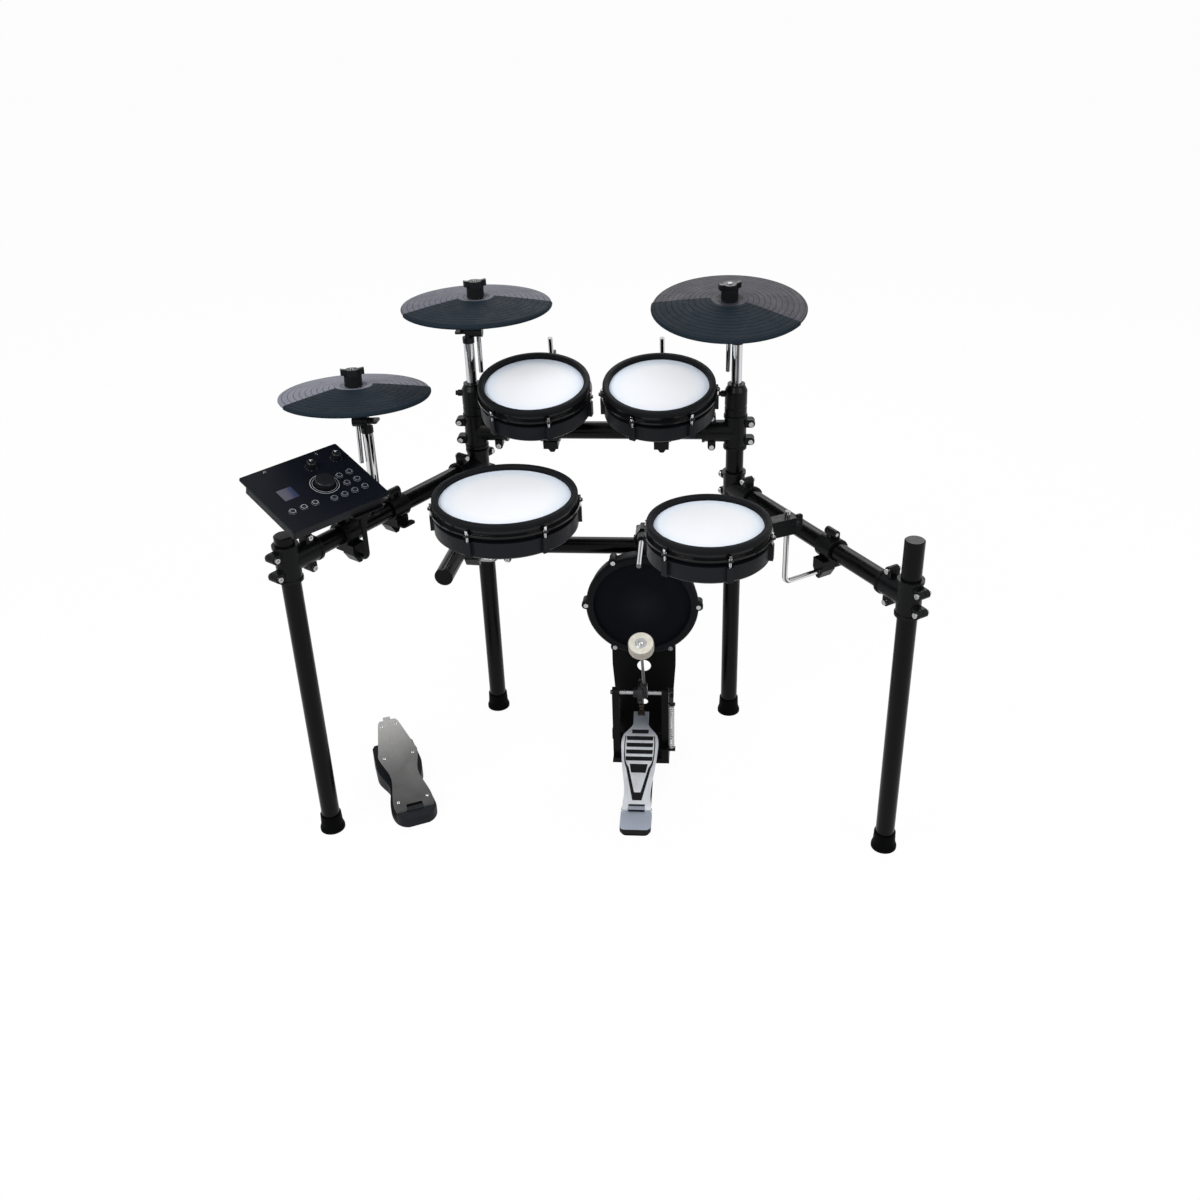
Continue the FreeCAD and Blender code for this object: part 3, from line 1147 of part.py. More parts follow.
def spring():
    """Return spring beside the right upright: one unbroken coil with straight, square ends."""
    centre = V(KICK_X + LEVER_X, AXLE_Y - LEVER_REACH, 0)
    low, high = spring_ends()
    lead = 2 * SPRING_WIRE_R
    first = low + 2 * lead
    rise = (high - low - 4 * lead) / SPRING_TURNS
    quarters = 4 * SPRING_TURNS
    slope = rise / (2 * math.pi * SPRING_R)

    def spot(count):
        angle = count * math.pi / 2
        return centre + V(SPRING_R * math.cos(angle), SPRING_R * math.sin(angle), first + rise * count / 4)

    def heading(count):
        angle = count * math.pi / 2
        return unit(V(-math.sin(angle), math.cos(angle), slope))

    flat_in = unit(V(heading(0).x, heading(0).y, 0))
    flat_out = unit(V(heading(quarters).x, heading(quarters).y, 0))
    rise_in = spot(0) - flat_in * lead - Z * lead
    rise_out = spot(quarters) + flat_out * lead + Z * lead
    edges = [Part.makeLine(rise_in - Z * lead, rise_in)] + biarc(rise_in, V(Z), spot(0), heading(0))
    for k in range(quarters):
        edges += biarc(spot(k), heading(k), spot(k + 1), heading(k + 1))
    edges += biarc(spot(quarters), heading(quarters), rise_out, V(Z))
    edges.append(Part.makeLine(rise_out, rise_out + Z * lead))
    circle = Part.Wire(Part.makeCircle(SPRING_WIRE_R, rise_in - Z * lead, Z))
    coil = Part.Wire(edges).makePipeShell([circle], True, False)
    points = [p for edge in edges for p in edge.discretize(6)[:-1]]
    turn = 2 * math.pi * SPRING_R
    runs = [0]
    for before, after in zip(points, points[1:]):
        runs.append(runs[-1] + (after - before).Length)
    least = min((points[i] - points[j]).Length for i in range(len(points))
                for j in range(i + 1, len(points)) if runs[j] - runs[i] > turn / 2)
    print("spring: least gap to itself", round(least - 2 * SPRING_WIRE_R, 2), "mm")
    return [coil]


def hihat_pedal():
    """Controller pedal: shoe-shaped base, sensor dome and pin, and the board; Y from the heel to the toe."""
    sole = plan([(HH_HEEL_HALF - 26, 0), (HH_HEEL_HALF - 8, 14), (HH_HEEL_HALF, 44), (HH_WAIST_HALF + 7, 84),
                 (HH_WAIST_HALF, 118), (HH_WIDE_HALF - 3, 158), (HH_WIDE_HALF, HH_WIDE_AT)], 0, 2 * HH_TOE_H,
                [(HH_TOE_HALF + 4, HH_LENGTH - 8), (HH_TOE_HALF - 2, HH_LENGTH)])
    slope_from = HH_HINGE_AT + 22
    heel_end = HH_HINGE_AT - HH_GAP
    side = [(0, 0), (HH_LENGTH, 0), (HH_LENGTH, HH_TOE_H), (slope_from, HH_FLOOR), (heel_end, HH_FLOOR),
            (heel_end, HH_HINGE_Z + HH_TOP), (0, HH_HINGE_Z + HH_TOP - 4)]
    wedge = prism([V(-2 * HH_HEEL_HALF, y, z) for y, z in side], V(4 * HH_HEEL_HALF, 0, 0))
    tab = [cyl(V(-HH_TAB_HALF, HH_HINGE_AT, HH_HINGE_Z), X, HINGE_R, 2 * HH_TAB_HALF),
           block(-HH_TAB_HALF, HH_TAB_HALF, heel_end - 1, HH_HINGE_AT, HH_FLOOR - 1, HH_HINGE_Z + HINGE_R)]
    base = fused([sole.common(wedge)] + tab)
    across = 4 * HH_HEEL_HALF
    base = base.cut(cyl(V(-across / 2, HH_HINGE_AT, HH_HINGE_Z), X, HINGE_PIN_R + SEAT, across))
    knuckle_out = HH_BOARD_HEEL_HALF - 2
    pin = cyl(V(-knuckle_out, HH_HINGE_AT, HH_HINGE_Z), X, HINGE_PIN_R, 2 * knuckle_out)
    slope = (HH_TOE_H - HH_FLOOR) / (HH_LENGTH - slope_from)
    dome_z = HH_FLOOR + slope * (HH_DOME_AT - slope_from)
    dome = lathe([(0, SEAT), (HH_DOME_R, SEAT), (HH_DOME_R - 3, HH_DOME_H - 2),
                  (HH_DOME_R - 5, HH_DOME_H), (0, HH_DOME_H)])
    dome = set_at([dome], V(0, HH_DOME_AT, dome_z), X, V(0, -slope, 1))[0]
    low = HH_BOARD_LIFT
    half = [(HH_BOARD_HEEL_HALF - 1, -4), (HH_BOARD_HEEL_HALF, 24), (HH_BOARD_WAIST_HALF + 5, 58),
            (HH_BOARD_WAIST_HALF, 92), (HH_BOARD_WAIST_HALF + 4, 114), (HH_BOARD_WIDE_HALF - 3, 136),
            (HH_BOARD_WIDE_HALF, 152)]
    toe = [(HH_BOARD_TOE_HALF, HH_BOARD - 8), (HH_BOARD_TOE_HALF - 5, HH_BOARD)]
    sheet = plan(half, low, HH_BOARD_T, toe)
    notch = HH_TAB_HALF + AIR
    sheet = sheet.cut(block(-notch, notch, -HH_BOARD, HINGE_R + 3, low - 1, low + HH_BOARD_T + 1))
    parts = [sheet, block(-HH_LUG_HALF, HH_LUG_HALF, HH_BOARD - 4, HH_BOARD + HH_LUG, low, low + HH_BOARD_T)]
    for x0 in (-knuckle_out, notch):
        parts.append(cyl(V(x0, 0, 0), X, HINGE_R, knuckle_out - notch))
    board = fused(parts).cut(cyl(V(-2 * HH_HEEL_HALF, 0, 0), X, HINGE_PIN_R + RUN, 4 * HH_HEEL_HALF))
    rivets = []
    top = low + HH_BOARD_T
    for x, y in HH_RIVETS:
        for spot_x in (-x, x):
            board = board.cut(cyl(V(spot_x, y, low - 1), Z, HH_RIVET_R / 2 + SEAT, HH_BOARD_T + 2))
            shank = cyl(V(spot_x, y, low), Z, HH_RIVET_R / 2, HH_BOARD_T + SEAT)
            ball = Part.makeSphere(HH_RIVET_R, V(spot_x, y, top + SEAT + HH_RIVET_H - HH_RIVET_R))
            ball = ball.common(cyl(V(spot_x, y, top + SEAT), Z, 2 * HH_RIVET_R, HH_RIVET_R))
            rivets.append(fused([shank, ball]))
    rise = math.radians(HH_RISE)
    tilt = axes(V(0, HH_HINGE_AT, HH_HINGE_Z), X, V(0, -math.sin(rise), math.cos(rise)))
    place = axes(V(HH_HEEL_X, HH_HEEL_Y, 0), turned(HH_TURN), Z)
    lower = [moved(s, place) for s in (base, pin, dome)]
    return lower, [moved(moved(s, tilt), place) for s in [board] + rivets]


# Sound module: its face is local XY, its centre the origin, its back edge towards Y
MODULE_U = turned(MODULE_TURN)
MODULE_N = V(math.sin(math.radians(MODULE_TURN)) * math.sin(math.radians(MODULE_TILT)),
             -math.cos(math.radians(MODULE_TURN)) * math.sin(math.radians(MODULE_TILT)),
             math.cos(math.radians(MODULE_TILT)))
MODULE_FRAME = axes(V(MODULE_X, MODULE_Y, MODULE_Z), MODULE_U, MODULE_N)
CASE_LOW = -PANEL_T - CASE_H
MODULE_HINGE_N = CASE_LOW - PLATE_T - MODULE_HINGE_DROP


def module_rod():
    """Foot of the module's rod: a point of the left arm and the way out from it to the rod."""
    spot = along(LEFT_POST, LEFT_ARM_DIR, MODULE_CLAMP_AT, LEFT_ARM_Z)
    return spot, LEFT_ARM_DIR.cross(Z) * MODULE_SIDE


def module_hinge():
    """Hinge point, local to the module, straight above the rod."""
    spot, out = module_rod()
    start = MODULE_FRAME.inverse().multVec(spot + out * MODULE_LEG)
    climb = MODULE_FRAME.inverse().Rotation.multVec(Z)
    return start + climb * ((MODULE_HINGE_N - start.z) / climb.z)


def key_spots():
    """Places of the eight keys beside the dial, right column first, then the menu keys."""
    spots = [(KEY_RIGHT_X - c * KEY_PITCH, KEY_TOP_Y - r * KEY_ROW) for r in range(3) for c in range(2)]
    spots += [(KEY_RIGHT_X - c * KEY_PITCH, KEY_TOP_Y - 2 * KEY_ROW) for c in (2, 3)]
    menu = [(MENU_LEFT_X + k * MENU_PITCH, MENU_Y) for k in range(3)]
    return spots, menu


def module_case():
    keys, menu = key_spots()
    panel = slab(MODULE_W, MODULE_D, PANEL_T, MODULE_CORNER)
    panel.translate(V(0, 0, -PANEL_T))
    ring = pipe(V(DIAL_X, DIAL_Y, -1), Z, DIAL_RING_OUT, DIAL_RING_IN, 1 + DIAL_RING_H)
    panel = panel.fuse(ring)
    for x, y in keys + menu:
        panel = panel.cut(cyl(V(x, y, -2 * PANEL_T), Z, KEY_R + KEY_AIR, 4 * PANEL_T))
    for x, y in ((DIAL_X, DIAL_Y), (KNOB_LEFT_X, KNOB_Y), (KNOB_RIGHT_X, KNOB_Y)):
        panel = panel.cut(cyl(V(x, y, -2 * PANEL_T), Z, SHAFT_R + RUN, 4 * PANEL_T))
    window = block(LCD_X - LCD_W / 2, LCD_X + LCD_W / 2, LCD_Y - LCD_D / 2, LCD_Y + LCD_D / 2, -LCD_T, 1)
    panel = panel.cut(window).removeSplitter()
    lcd = block(LCD_X - LCD_W / 2 + SEAT, LCD_X + LCD_W / 2 - SEAT, LCD_Y - LCD_D / 2 + SEAT,
                LCD_Y + LCD_D / 2 - SEAT, -LCD_T + SEAT, -0.3)
    wide = MODULE_W - 2 * CASE_INSET
    deep = MODULE_D - 2 * CASE_INSET
    shell = slab(wide, deep, CASE_H - SEAT, MODULE_CORNER)
    room = slab(wide - 2 * CASE_WALL, deep - 2 * CASE_WALL, CASE_H, MODULE_CORNER - CASE_WALL)
    room.translate(V(0, 0, CASE_WALL))
    shell = shell.cut(room)
    shell.translate(V(0, 0, CASE_LOW))
    back = deep / 2
    jack_z = CASE_LOW + CASE_WALL + JACK_BODY_R + 1
    board_z = -BOARD_DEPTH
    jacks = []
    for k in range(JACKS):
        x = (k - (JACKS - 1) / 2) * JACK_PITCH
        shell = shell.cut(cyl(V(x, back - 2 * CASE_WALL, jack_z), Y, JACK_R, 4 * CASE_WALL))
        body = cyl(V(x, back - CASE_WALL - SEAT - JACK_DEPTH, jack_z), Y, JACK_BODY_R, JACK_DEPTH)
        bottom = V(x, back - JACK_DEPTH - CASE_WALL + 2, jack_z)
        jacks.append(body.cut(cyl(bottom, Y, JACK_R, 2 * JACK_DEPTH)))
    board = slab(wide - 2 * CASE_WALL - 4, deep - 2 * CASE_WALL - 4, BOARD_THICK, 3)
    board.translate(V(0, 0, board_z - BOARD_THICK))
    row_half = JACKS * JACK_PITCH / 2
    notch = block(-row_half, row_half, back - CASE_WALL - JACK_DEPTH - 3, back, board_z - 9, board_z + 5)
    board = board.cut(notch)
    key_low = -PANEL_T - KEY_AIR - KEY_FLANGE_T
    for x, y in keys + menu:
        board = board.fuse(block(x - 3, x + 3, y - 3, y + 3, board_z, key_low - KEY_TRAVEL - KEY_AIR))
    for k in (-1, 1):
        for j in (-1, 1):
            stand_low = CASE_LOW + CASE_WALL - 1
            stand = cyl(V(k * 80, j * 55, stand_low), Z, 4, board_z - BOARD_THICK - SEAT - stand_low)
            shell = shell.fuse(stand)
    hinge = module_hinge()
    plate = slab(PLATE_W, PLATE_D, PLATE_T - SEAT, MODULE_CORNER)
    plate.translate(V(hinge.x, hinge.y, CASE_LOW - PLATE_T))
    ear_in = MODULE_TONGUE_HALF + AIR
    parts = [plate]
    for x0 in (hinge.x + ear_in, hinge.x - ear_in - MODULE_EAR_T):
        parts.append(cyl(V(x0, hinge.y, hinge.z), X, MODULE_EAR_R, MODULE_EAR_T))
        parts.append(block(x0, x0 + MODULE_EAR_T, hinge.y - MODULE_EAR_R, hinge.y + MODULE_EAR_R,
                           hinge.z, CASE_LOW - SEAT))
    bracket = fused(parts).cut(cyl(V(hinge.x - 50, hinge.y, hinge.z), X, MODULE_PIN_R + SEAT, 100))
    pin_half = ear_in + MODULE_EAR_T
    pin = cyl(V(hinge.x - pin_half, hinge.y, hinge.z), X, MODULE_PIN_R, 2 * pin_half)
    knob = wing(V(hinge.x + pin_half, hinge.y, hinge.z), X, Y, 0.5)
    pin = pin.fuse(knob).removeSplitter()
    for x in (-EDGE_SCREW_X, EDGE_SCREW_X):
        jacks.append(cyl(V(x, MODULE_D / 2 - CASE_INSET, SEAT), Z, EDGE_SCREW_R, EDGE_SCREW_H))
    shapes = [panel, shell.removeSplitter(), board.removeSplitter(), lcd, bracket, pin] + jacks
    return [moved(s, MODULE_FRAME) for s in shapes]


def module_clamp():
    """Rack clamp on the left arm, its bent rod, and the hinge head on the rod's top."""
    spot, out = module_rod()
    top = MODULE_FRAME.multVec(module_hinge())
    eye_r = MODULE_EAR_R - 1
    head_low = top.z - eye_r - HEAD_SLEEVE
    jaws = rack_clamp(ROD_R) + [bent_rod(MODULE_LEG, top.z - eye_r - 1 - LEFT_ARM_Z)]
    sleeve = cyl(V(0, 0, -eye_r - HEAD_SLEEVE), Z, MODULE_TONGUE_HALF, HEAD_SLEEVE + 2)
    tongue = block(-MODULE_TONGUE_HALF, MODULE_TONGUE_HALF, -eye_r, eye_r, -eye_r, 0)
    eye = cyl(V(-MODULE_TONGUE_HALF, 0, 0), X, eye_r, 2 * MODULE_TONGUE_HALF)
    head = fused([sleeve, tongue, eye]).cut(cyl(V(-50, 0, 0), X, MODULE_PIN_R + RUN, 100))
    head = head.cut(cyl(V(0, 0, head_low - top.z - 1), Z, ROD_R + SEAT, HEAD_SLEEVE))
    return set_at(jaws, spot, out.cross(Z), Z) + set_at([head], top, MODULE_U, Z)


def turning_knob(x, y, radius, height):
    """Knob with its shaft and a raised pointer."""
    foot = DIAL_RING_H + AIR if radius > KNOB_R else AIR
    body = lathe([(0, foot), (radius, foot), (radius, height - 1.5), (radius - 1.5, height), (0, height)])
    pointer = block(-0.8, 0.8, radius * 0.35, radius - 1.5, height - 0.5, height + 0.5)
    shaft = cyl(V(0, 0, -PANEL_T - 8), Z, SHAFT_R, PANEL_T + 8 + foot + 1)
    knob = fused([body, pointer, shaft])
    knob.translate(V(x, y, 0))
    return [moved(knob, MODULE_FRAME)]


def key(x, y):
    low = -PANEL_T - KEY_AIR
    foot = low - KEY_FLANGE_T
    cap = lathe([(0, foot), (KEY_R + KEY_FLANGE, foot), (KEY_R + KEY_FLANGE, low),
                 (KEY_R, low), (KEY_R, KEY_UP - 0.8), (KEY_R - 0.8, KEY_UP), (0, KEY_UP)])
    cap.translate(V(x, y, 0))
    return [moved(cap, MODULE_FRAME)]


def rear_clamps():
    left = V(LEFT_POST)
    right = V(RIGHT_POST)
    shapes = []
    for height in (UPPER_BAR_Z, LOWER_BAR_Z):
        shapes += set_at(tee(), V(left.x, left.y, height), X, Z)
        shapes += set_at(tee(), V(right.x, right.y, height), -X, Z)
    shapes += set_at(tee(), V(left.x, left.y, SNARE_ARM_Z), SNARE_ARM_DIR, Z)
    return shapes + post_collar(left, -X) + post_collar(right, -X)


def wing_clamps(post_foot, leg_foot, height):
    run = unit(leg_foot - post_foot)
    near = set_at(tee(), V(post_foot.x, post_foot.y, height), run, Z)
    far = set_at(tee(), V(leg_foot.x, leg_foot.y, height), -run, Z)
    return near + far


def front_leg(foot, top):
    head = V(foot.x, foot.y, top)
    return [post(foot, top), foot_cup(foot), end_cap(head, Z)]


def snare_arm():
    reach = SNARE_ARM_LENGTH - CAP_H
    end = along(LEFT_POST, SNARE_ARM_DIR, reach, SNARE_ARM_Z)
    return [bar(LEFT_POST, SNARE_ARM_DIR, SNARE_ARM_Z, reach), end_cap(end, SNARE_ARM_DIR)]


def hihat_arm_point():
    run = (V(HIHAT_X, HIHAT_Y, 0) - LEFT_POST).dot(LEFT_ARM_DIR)
    return along(LEFT_POST, LEFT_ARM_DIR, run, LEFT_ARM_Z)


def model():
    """Every node's solids, by the node's name, in rack axes."""
    nodes = {}
    bar_reach = 2 * REAR_POST_X - BAR_START
    left_reach = (LEFT_LEG - LEFT_POST).Length - BAR_START
    right_reach = (RIGHT_LEG - RIGHT_POST).Length - BAR_START
    nodes["left_rear_post"] = [post(LEFT_POST, REAR_POST_TOP)]
    nodes["right_rear_post"] = [post(RIGHT_POST, REAR_POST_TOP)]
    nodes["rear_feet"] = [foot_cup(LEFT_POST), foot_cup(RIGHT_POST)]
    nodes["upper_crossbar"] = [bar(LEFT_POST, X, UPPER_BAR_Z, bar_reach)]
    nodes["lower_crossbar"] = [bar(LEFT_POST, X, LOWER_BAR_Z, bar_reach)]
    nodes["snare_arm"] = snare_arm()
    nodes["rear_clamps"] = rear_clamps()
    nodes["left_side_arm"] = [bar(LEFT_POST, LEFT_ARM_DIR, LEFT_ARM_Z, left_reach)]
    nodes["left_front_leg"] = front_leg(LEFT_LEG, LEFT_LEG_TOP)
    nodes["left_clamps"] = (wing_clamps(LEFT_POST, LEFT_LEG, LEFT_ARM_Z)
                            + side_holder(hihat_arm_point()) + module_clamp())
    nodes["right_side_arm"] = [bar(RIGHT_POST, RIGHT_ARM_DIR, RIGHT_ARM_Z, right_reach)]
    nodes["right_front_leg"] = front_leg(RIGHT_LEG, RIGHT_LEG_TOP)
    nodes["right_clamps"] = wing_clamps(RIGHT_POST, RIGHT_LEG, RIGHT_ARM_Z)

    snare_spot = along(LEFT_POST, SNARE_ARM_DIR, SNARE_CLAMP_AT, SNARE_ARM_Z)
    floor_spot = along(RIGHT_POST, RIGHT_ARM_DIR, FLOOR_CLAMP_AT, RIGHT_ARM_Z)
    drums = {
        "snare": drum(snare_spot, SNARE_ARM_DIR, Z, SNARE_R, SNARE_REACH, SNARE_LEG, SNARE_UP,
                      SNARE_SWING, SNARE_ROD_TOP, SNARE_LUG_TURN),
        "left_tom": drum(V(TOM1_ROD_X, 0, UPPER_BAR_Z), X, TOM_UP_DIR, TOM_R, TOM_REACH, TOM_LEG, TOM_UP,
                         TOM1_SWING, TOM_ROD_TOP, TOM1_LUG_TURN, True),
        "right_tom": drum(V(TOM2_ROD_X, 0, UPPER_BAR_Z), X, TOM_UP_DIR, TOM_R, TOM_REACH, TOM_LEG, TOM_UP,
                          TOM2_SWING, TOM_ROD_TOP, TOM2_LUG_TURN, True),
        "floor_tom": drum(floor_spot, -RIGHT_ARM_DIR, Z, FLOOR_R, FLOOR_REACH, FLOOR_LEG, FLOOR_UP,
                          FLOOR_SWING, FLOOR_ROD_TOP, FLOOR_LUG_TURN),
    }
    for name, (mount, shell, head) in drums.items():
        nodes[name + "_mount"] = mount
        nodes[name + "_shell"] = shell + head[1:]
        nodes[name + "_head"] = head[:1]

    stands = {
        "crash": (-REAR_POST_X, 0, STAND_FOOT_Z, CRASH_TILT_Z, CRASH_OFFSET, CRASH_LEAN, CRASH_R, CRASH_ZONE),
        "ride": (REAR_POST_X, 0, STAND_FOOT_Z, RIDE_TILT_Z, RIDE_OFFSET, RIDE_LEAN, RIDE_R, RIDE_ZONE),
        "hihat": (HIHAT_X, HIHAT_Y, HIHAT_FOOT_Z, HIHAT_TILT_Z, HIHAT_OFFSET, HIHAT_LEAN, HIHAT_R,
                  HIHAT_ZONE),
    }
    for name, (x, y, low, tilt_z, offset, lean, radius, zone) in stands.items():
        nodes[name + "_stand"] = stand_tube(x, y, low, tilt_z)
        nodes[name + "_boom"], nodes[name + "_cymbal"] = stand_head(x, y, tilt_z, offset, lean, radius, zone)

    nodes["kick_shell"], nodes["kick_head"] = kick_pad()
    nodes["kick_tower"] = kick_tower()
    nodes["kick_brace"] = kick_brace()
    nodes["kick_pedal_frame"] = pedal_frame()
    nodes["kick_footboard"] = footboard()
    nodes["kick_beater"] = beater()
    nodes["kick_chain"] = chain()
    nodes["kick_spring"] = spring()
    nodes["hihat_pedal_base"], nodes["hihat_pedal_board"] = hihat_pedal()

    nodes["module_case"] = module_case()
    nodes["module_dial"] = turning_knob(DIAL_X, DIAL_Y, DIAL_R, DIAL_H)
    nodes["module_knob_left"] = turning_knob(KNOB_LEFT_X, KNOB_Y, KNOB_R, KNOB_H)
    nodes["module_knob_right"] = turning_knob(KNOB_RIGHT_X, KNOB_Y, KNOB_R, KNOB_H)
    keys, menu = key_spots()
    for k, (x, y) in enumerate(keys):
        nodes["pad_key_%d" % (k + 1)] = key(x, y)
    for k, (x, y) in enumerate(menu):
        nodes["menu_key_%d" % (k + 1)] = key(x, y)
    return nodes


def footprint_shift(nodes):
    """Move that puts the middle of the footprint at the origin."""
    box = FreeCAD.BoundBox()
    for shapes in nodes.values():
        for shape in shapes:
            box.add(shape.optimalBoundingBox(False))
    return V(-(box.XMin + box.XMax) / 2, -(box.YMin + box.YMax) / 2, -box.ZMin)


def main():
    os.makedirs("parts", exist_ok=True)
    nodes = model()
    shift = footprint_shift(nodes)
    print("shift", round(shift.x, 3), round(shift.y, 3), round(shift.z, 3), "nodes", len(nodes))
    for name, shapes in nodes.items():
        for shape in shapes:
            shape.translate(shift)
            if not shape.isValid() or len(shape.Solids) != 1:
                print("check", name, shape.isValid(), len(shape.Solids))
        whole = shapes[0] if len(shapes) == 1 else Part.makeCompound(shapes)
        whole.exportStep("parts/%s.step" % name)


if __name__ == "__main__":
    main()
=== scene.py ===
import math

import bpy
import numpy as np
from mathutils import Matrix, Vector

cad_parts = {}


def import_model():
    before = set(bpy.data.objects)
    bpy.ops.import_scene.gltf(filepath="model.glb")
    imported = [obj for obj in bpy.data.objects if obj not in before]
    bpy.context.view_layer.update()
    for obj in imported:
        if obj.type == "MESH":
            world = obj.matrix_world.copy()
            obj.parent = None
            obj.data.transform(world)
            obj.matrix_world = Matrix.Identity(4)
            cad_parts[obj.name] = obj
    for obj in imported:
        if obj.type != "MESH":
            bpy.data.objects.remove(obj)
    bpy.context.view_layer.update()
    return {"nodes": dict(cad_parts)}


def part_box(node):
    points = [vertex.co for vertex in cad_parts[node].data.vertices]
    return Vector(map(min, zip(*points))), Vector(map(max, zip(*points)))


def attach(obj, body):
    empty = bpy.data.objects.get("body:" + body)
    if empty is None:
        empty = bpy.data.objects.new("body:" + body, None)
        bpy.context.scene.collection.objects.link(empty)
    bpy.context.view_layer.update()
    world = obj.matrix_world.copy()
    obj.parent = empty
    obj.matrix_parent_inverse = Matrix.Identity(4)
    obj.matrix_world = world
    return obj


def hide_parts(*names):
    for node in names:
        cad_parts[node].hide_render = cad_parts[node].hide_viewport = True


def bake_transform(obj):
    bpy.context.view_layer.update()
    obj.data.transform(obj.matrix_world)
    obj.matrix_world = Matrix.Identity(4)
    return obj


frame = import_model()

nodes = frame["nodes"]
scene = bpy.context.scene
ROUND = 2 * math.pi

# Measures that looks and pieces share, in metres and radians.
BOARD_RISE = math.radians(20.0)
BOARD_ALONG = (0, math.cos(BOARD_RISE), math.sin(BOARD_RISE))
BOARD_UP = (0, -math.sin(BOARD_RISE), math.cos(BOARD_RISE))
UP = (0, 0, 1)


def leaning(degrees):
    """Upward direction that leans towards the player, who is at -Y."""
    return (0.0, -math.sin(math.radians(degrees)), math.cos(math.radians(degrees)))


# ---------------------------------------------------------------- materials
class Look:
    """A principled material, with helpers for the nodes that feed it."""

    def __init__(self, name, rough=0.5, metal=0.0, specular=0.5, **sockets):
        self.mat = bpy.data.materials.new(name)
        self.mat.use_nodes = True
        self.tree = self.mat.node_tree
        self.tree.nodes.clear()
        self.shader = self.tree.nodes.new("ShaderNodeBsdfPrincipled")
        self.out = self.tree.nodes.new("ShaderNodeOutputMaterial")
        self.tree.links.new(self.shader.outputs[0], self.out.inputs[0])
        coords = self.tree.nodes.new("ShaderNodeTexCoord")
        self.place, self.facing = coords.outputs["Object"], coords.outputs["Normal"]
        self.put("Roughness", rough)
        self.put("Metallic", metal)
        self.put("Specular IOR Level", specular)
        for key, value in sockets.items():
            self.put(key.replace("_", " ").title().replace("Ior", "IOR"), value)

    def put(self, socket, value):
        self.feed(self.shader.inputs[socket], value)

    def feed(self, socket, value):
        if isinstance(value, bpy.types.NodeSocket):
            self.tree.links.new(value, socket)
        elif socket.type == "RGBA" and len(value) == 3:
            socket.default_value = (*value, 1)
        else:
            socket.default_value = value

    def math(self, operation, *values):
        made = self.tree.nodes.new("ShaderNodeMath")
        made.operation = operation
        for socket, value in zip(made.inputs, values):
            self.feed(socket, value)
        return made.outputs[0]

    def vector(self, operation, first, second=None, scale=None):
        made = self.tree.nodes.new("ShaderNodeVectorMath")
        made.operation = operation
        self.feed(made.inputs[0], first)
        if second is not None:
            self.feed(made.inputs[1], second)
        if scale is not None:
            self.feed(made.inputs["Scale"], scale)
        return made.outputs["Value" if operation in ("DOT_PRODUCT", "LENGTH") else "Vector"]

    def noise(self, scale, detail=2.0, place=None, rough=0.5):
        made = self.tree.nodes.new("ShaderNodeTexNoise")
        self.feed(made.inputs["Vector"], place or self.place)
        self.feed(made.inputs["Scale"], scale)
        self.feed(made.inputs["Detail"], detail)
        self.feed(made.inputs["Roughness"], rough)
        return made.outputs[0]

    def spread(self, value, low, high, start=0.0, end=1.0):
        """Brings start..end to low..high."""
        made = self.tree.nodes.new("ShaderNodeMapRange")
        for socket, number in zip(made.inputs, (value, start, end, low, high)):
            self.feed(socket, number)
        return made.outputs[0]

    def clouded(self, noise, low, high):
        """Roughness that follows a noise, most of which lies between 0.3 and 0.7."""
        self.put("Roughness", self.spread(noise, low, high, 0.3, 0.7))

    def ramp(self, value, *stops):
        made = self.tree.nodes.new("ShaderNodeValToRGB")
        self.feed(made.inputs[0], value)
        band = made.color_ramp
        while len(band.elements) < len(stops):
            band.elements.new(1.0)
        for element, (at, color) in zip(band.elements, stops):
            element.position = at
            element.color = (*color, 1)
        return made.outputs[0]

    def mix(self, share, first, second):
        made = self.tree.nodes.new("ShaderNodeMix")
        made.data_type = "RGBA"
        self.feed(made.inputs[0], share)
        self.feed(made.inputs[6], first)
        self.feed(made.inputs[7], second)
        return made.outputs[2]

    def bump(self, height, depth, strength=1.0, edge=0.0):
        made = self.tree.nodes.new("ShaderNodeBump")
        self.feed(made.inputs["Height"], height)
        made.inputs["Distance"].default_value = depth
        made.inputs["Strength"].default_value = strength
        if edge:
            soft = self.tree.nodes.new("ShaderNodeBevel")
            soft.samples = 4
            soft.inputs["Radius"].default_value = edge
            self.feed(made.inputs["Normal"], soft.outputs[0])
        self.put("Normal", made.outputs[0])

    def streaks(self, along, fine, coarse):
        """Noise drawn out along a direction: fine across it, coarse along it."""
        length = self.vector("DOT_PRODUCT", self.place, along)
        drawn = self.vector("SCALE", self.place, scale=fine)
        back = self.vector("SCALE", along, scale=self.math("MULTIPLY", length, coarse - fine))
        return self.noise(1.0, 3.0, self.vector("ADD", drawn, back))

    def axis_radius(self, centre, normal):
        """Distance of a point from an axis."""
        rel = self.vector("SUBTRACT", self.place, centre)
        height = self.vector("DOT_PRODUCT", rel, normal)
        above = self.vector("SCALE", normal, scale=height)
        return self.vector("LENGTH", self.vector("SUBTRACT", rel, above))

    def threads(self, first, second, pitch):
        """Height of threads that cross, counted along two of the axes 0, 1 and 2."""
        split = self.tree.nodes.new("ShaderNodeSeparateXYZ")
        self.feed(split.inputs[0], self.place)
        waves = [self.math("SINE", self.math("MULTIPLY", split.outputs[axis], ROUND / pitch))
                 for axis in (first, second)]
        return self.math("MAXIMUM", *waves)


def tint(color, share):
    return tuple(min(1.0, c * share) for c in color)


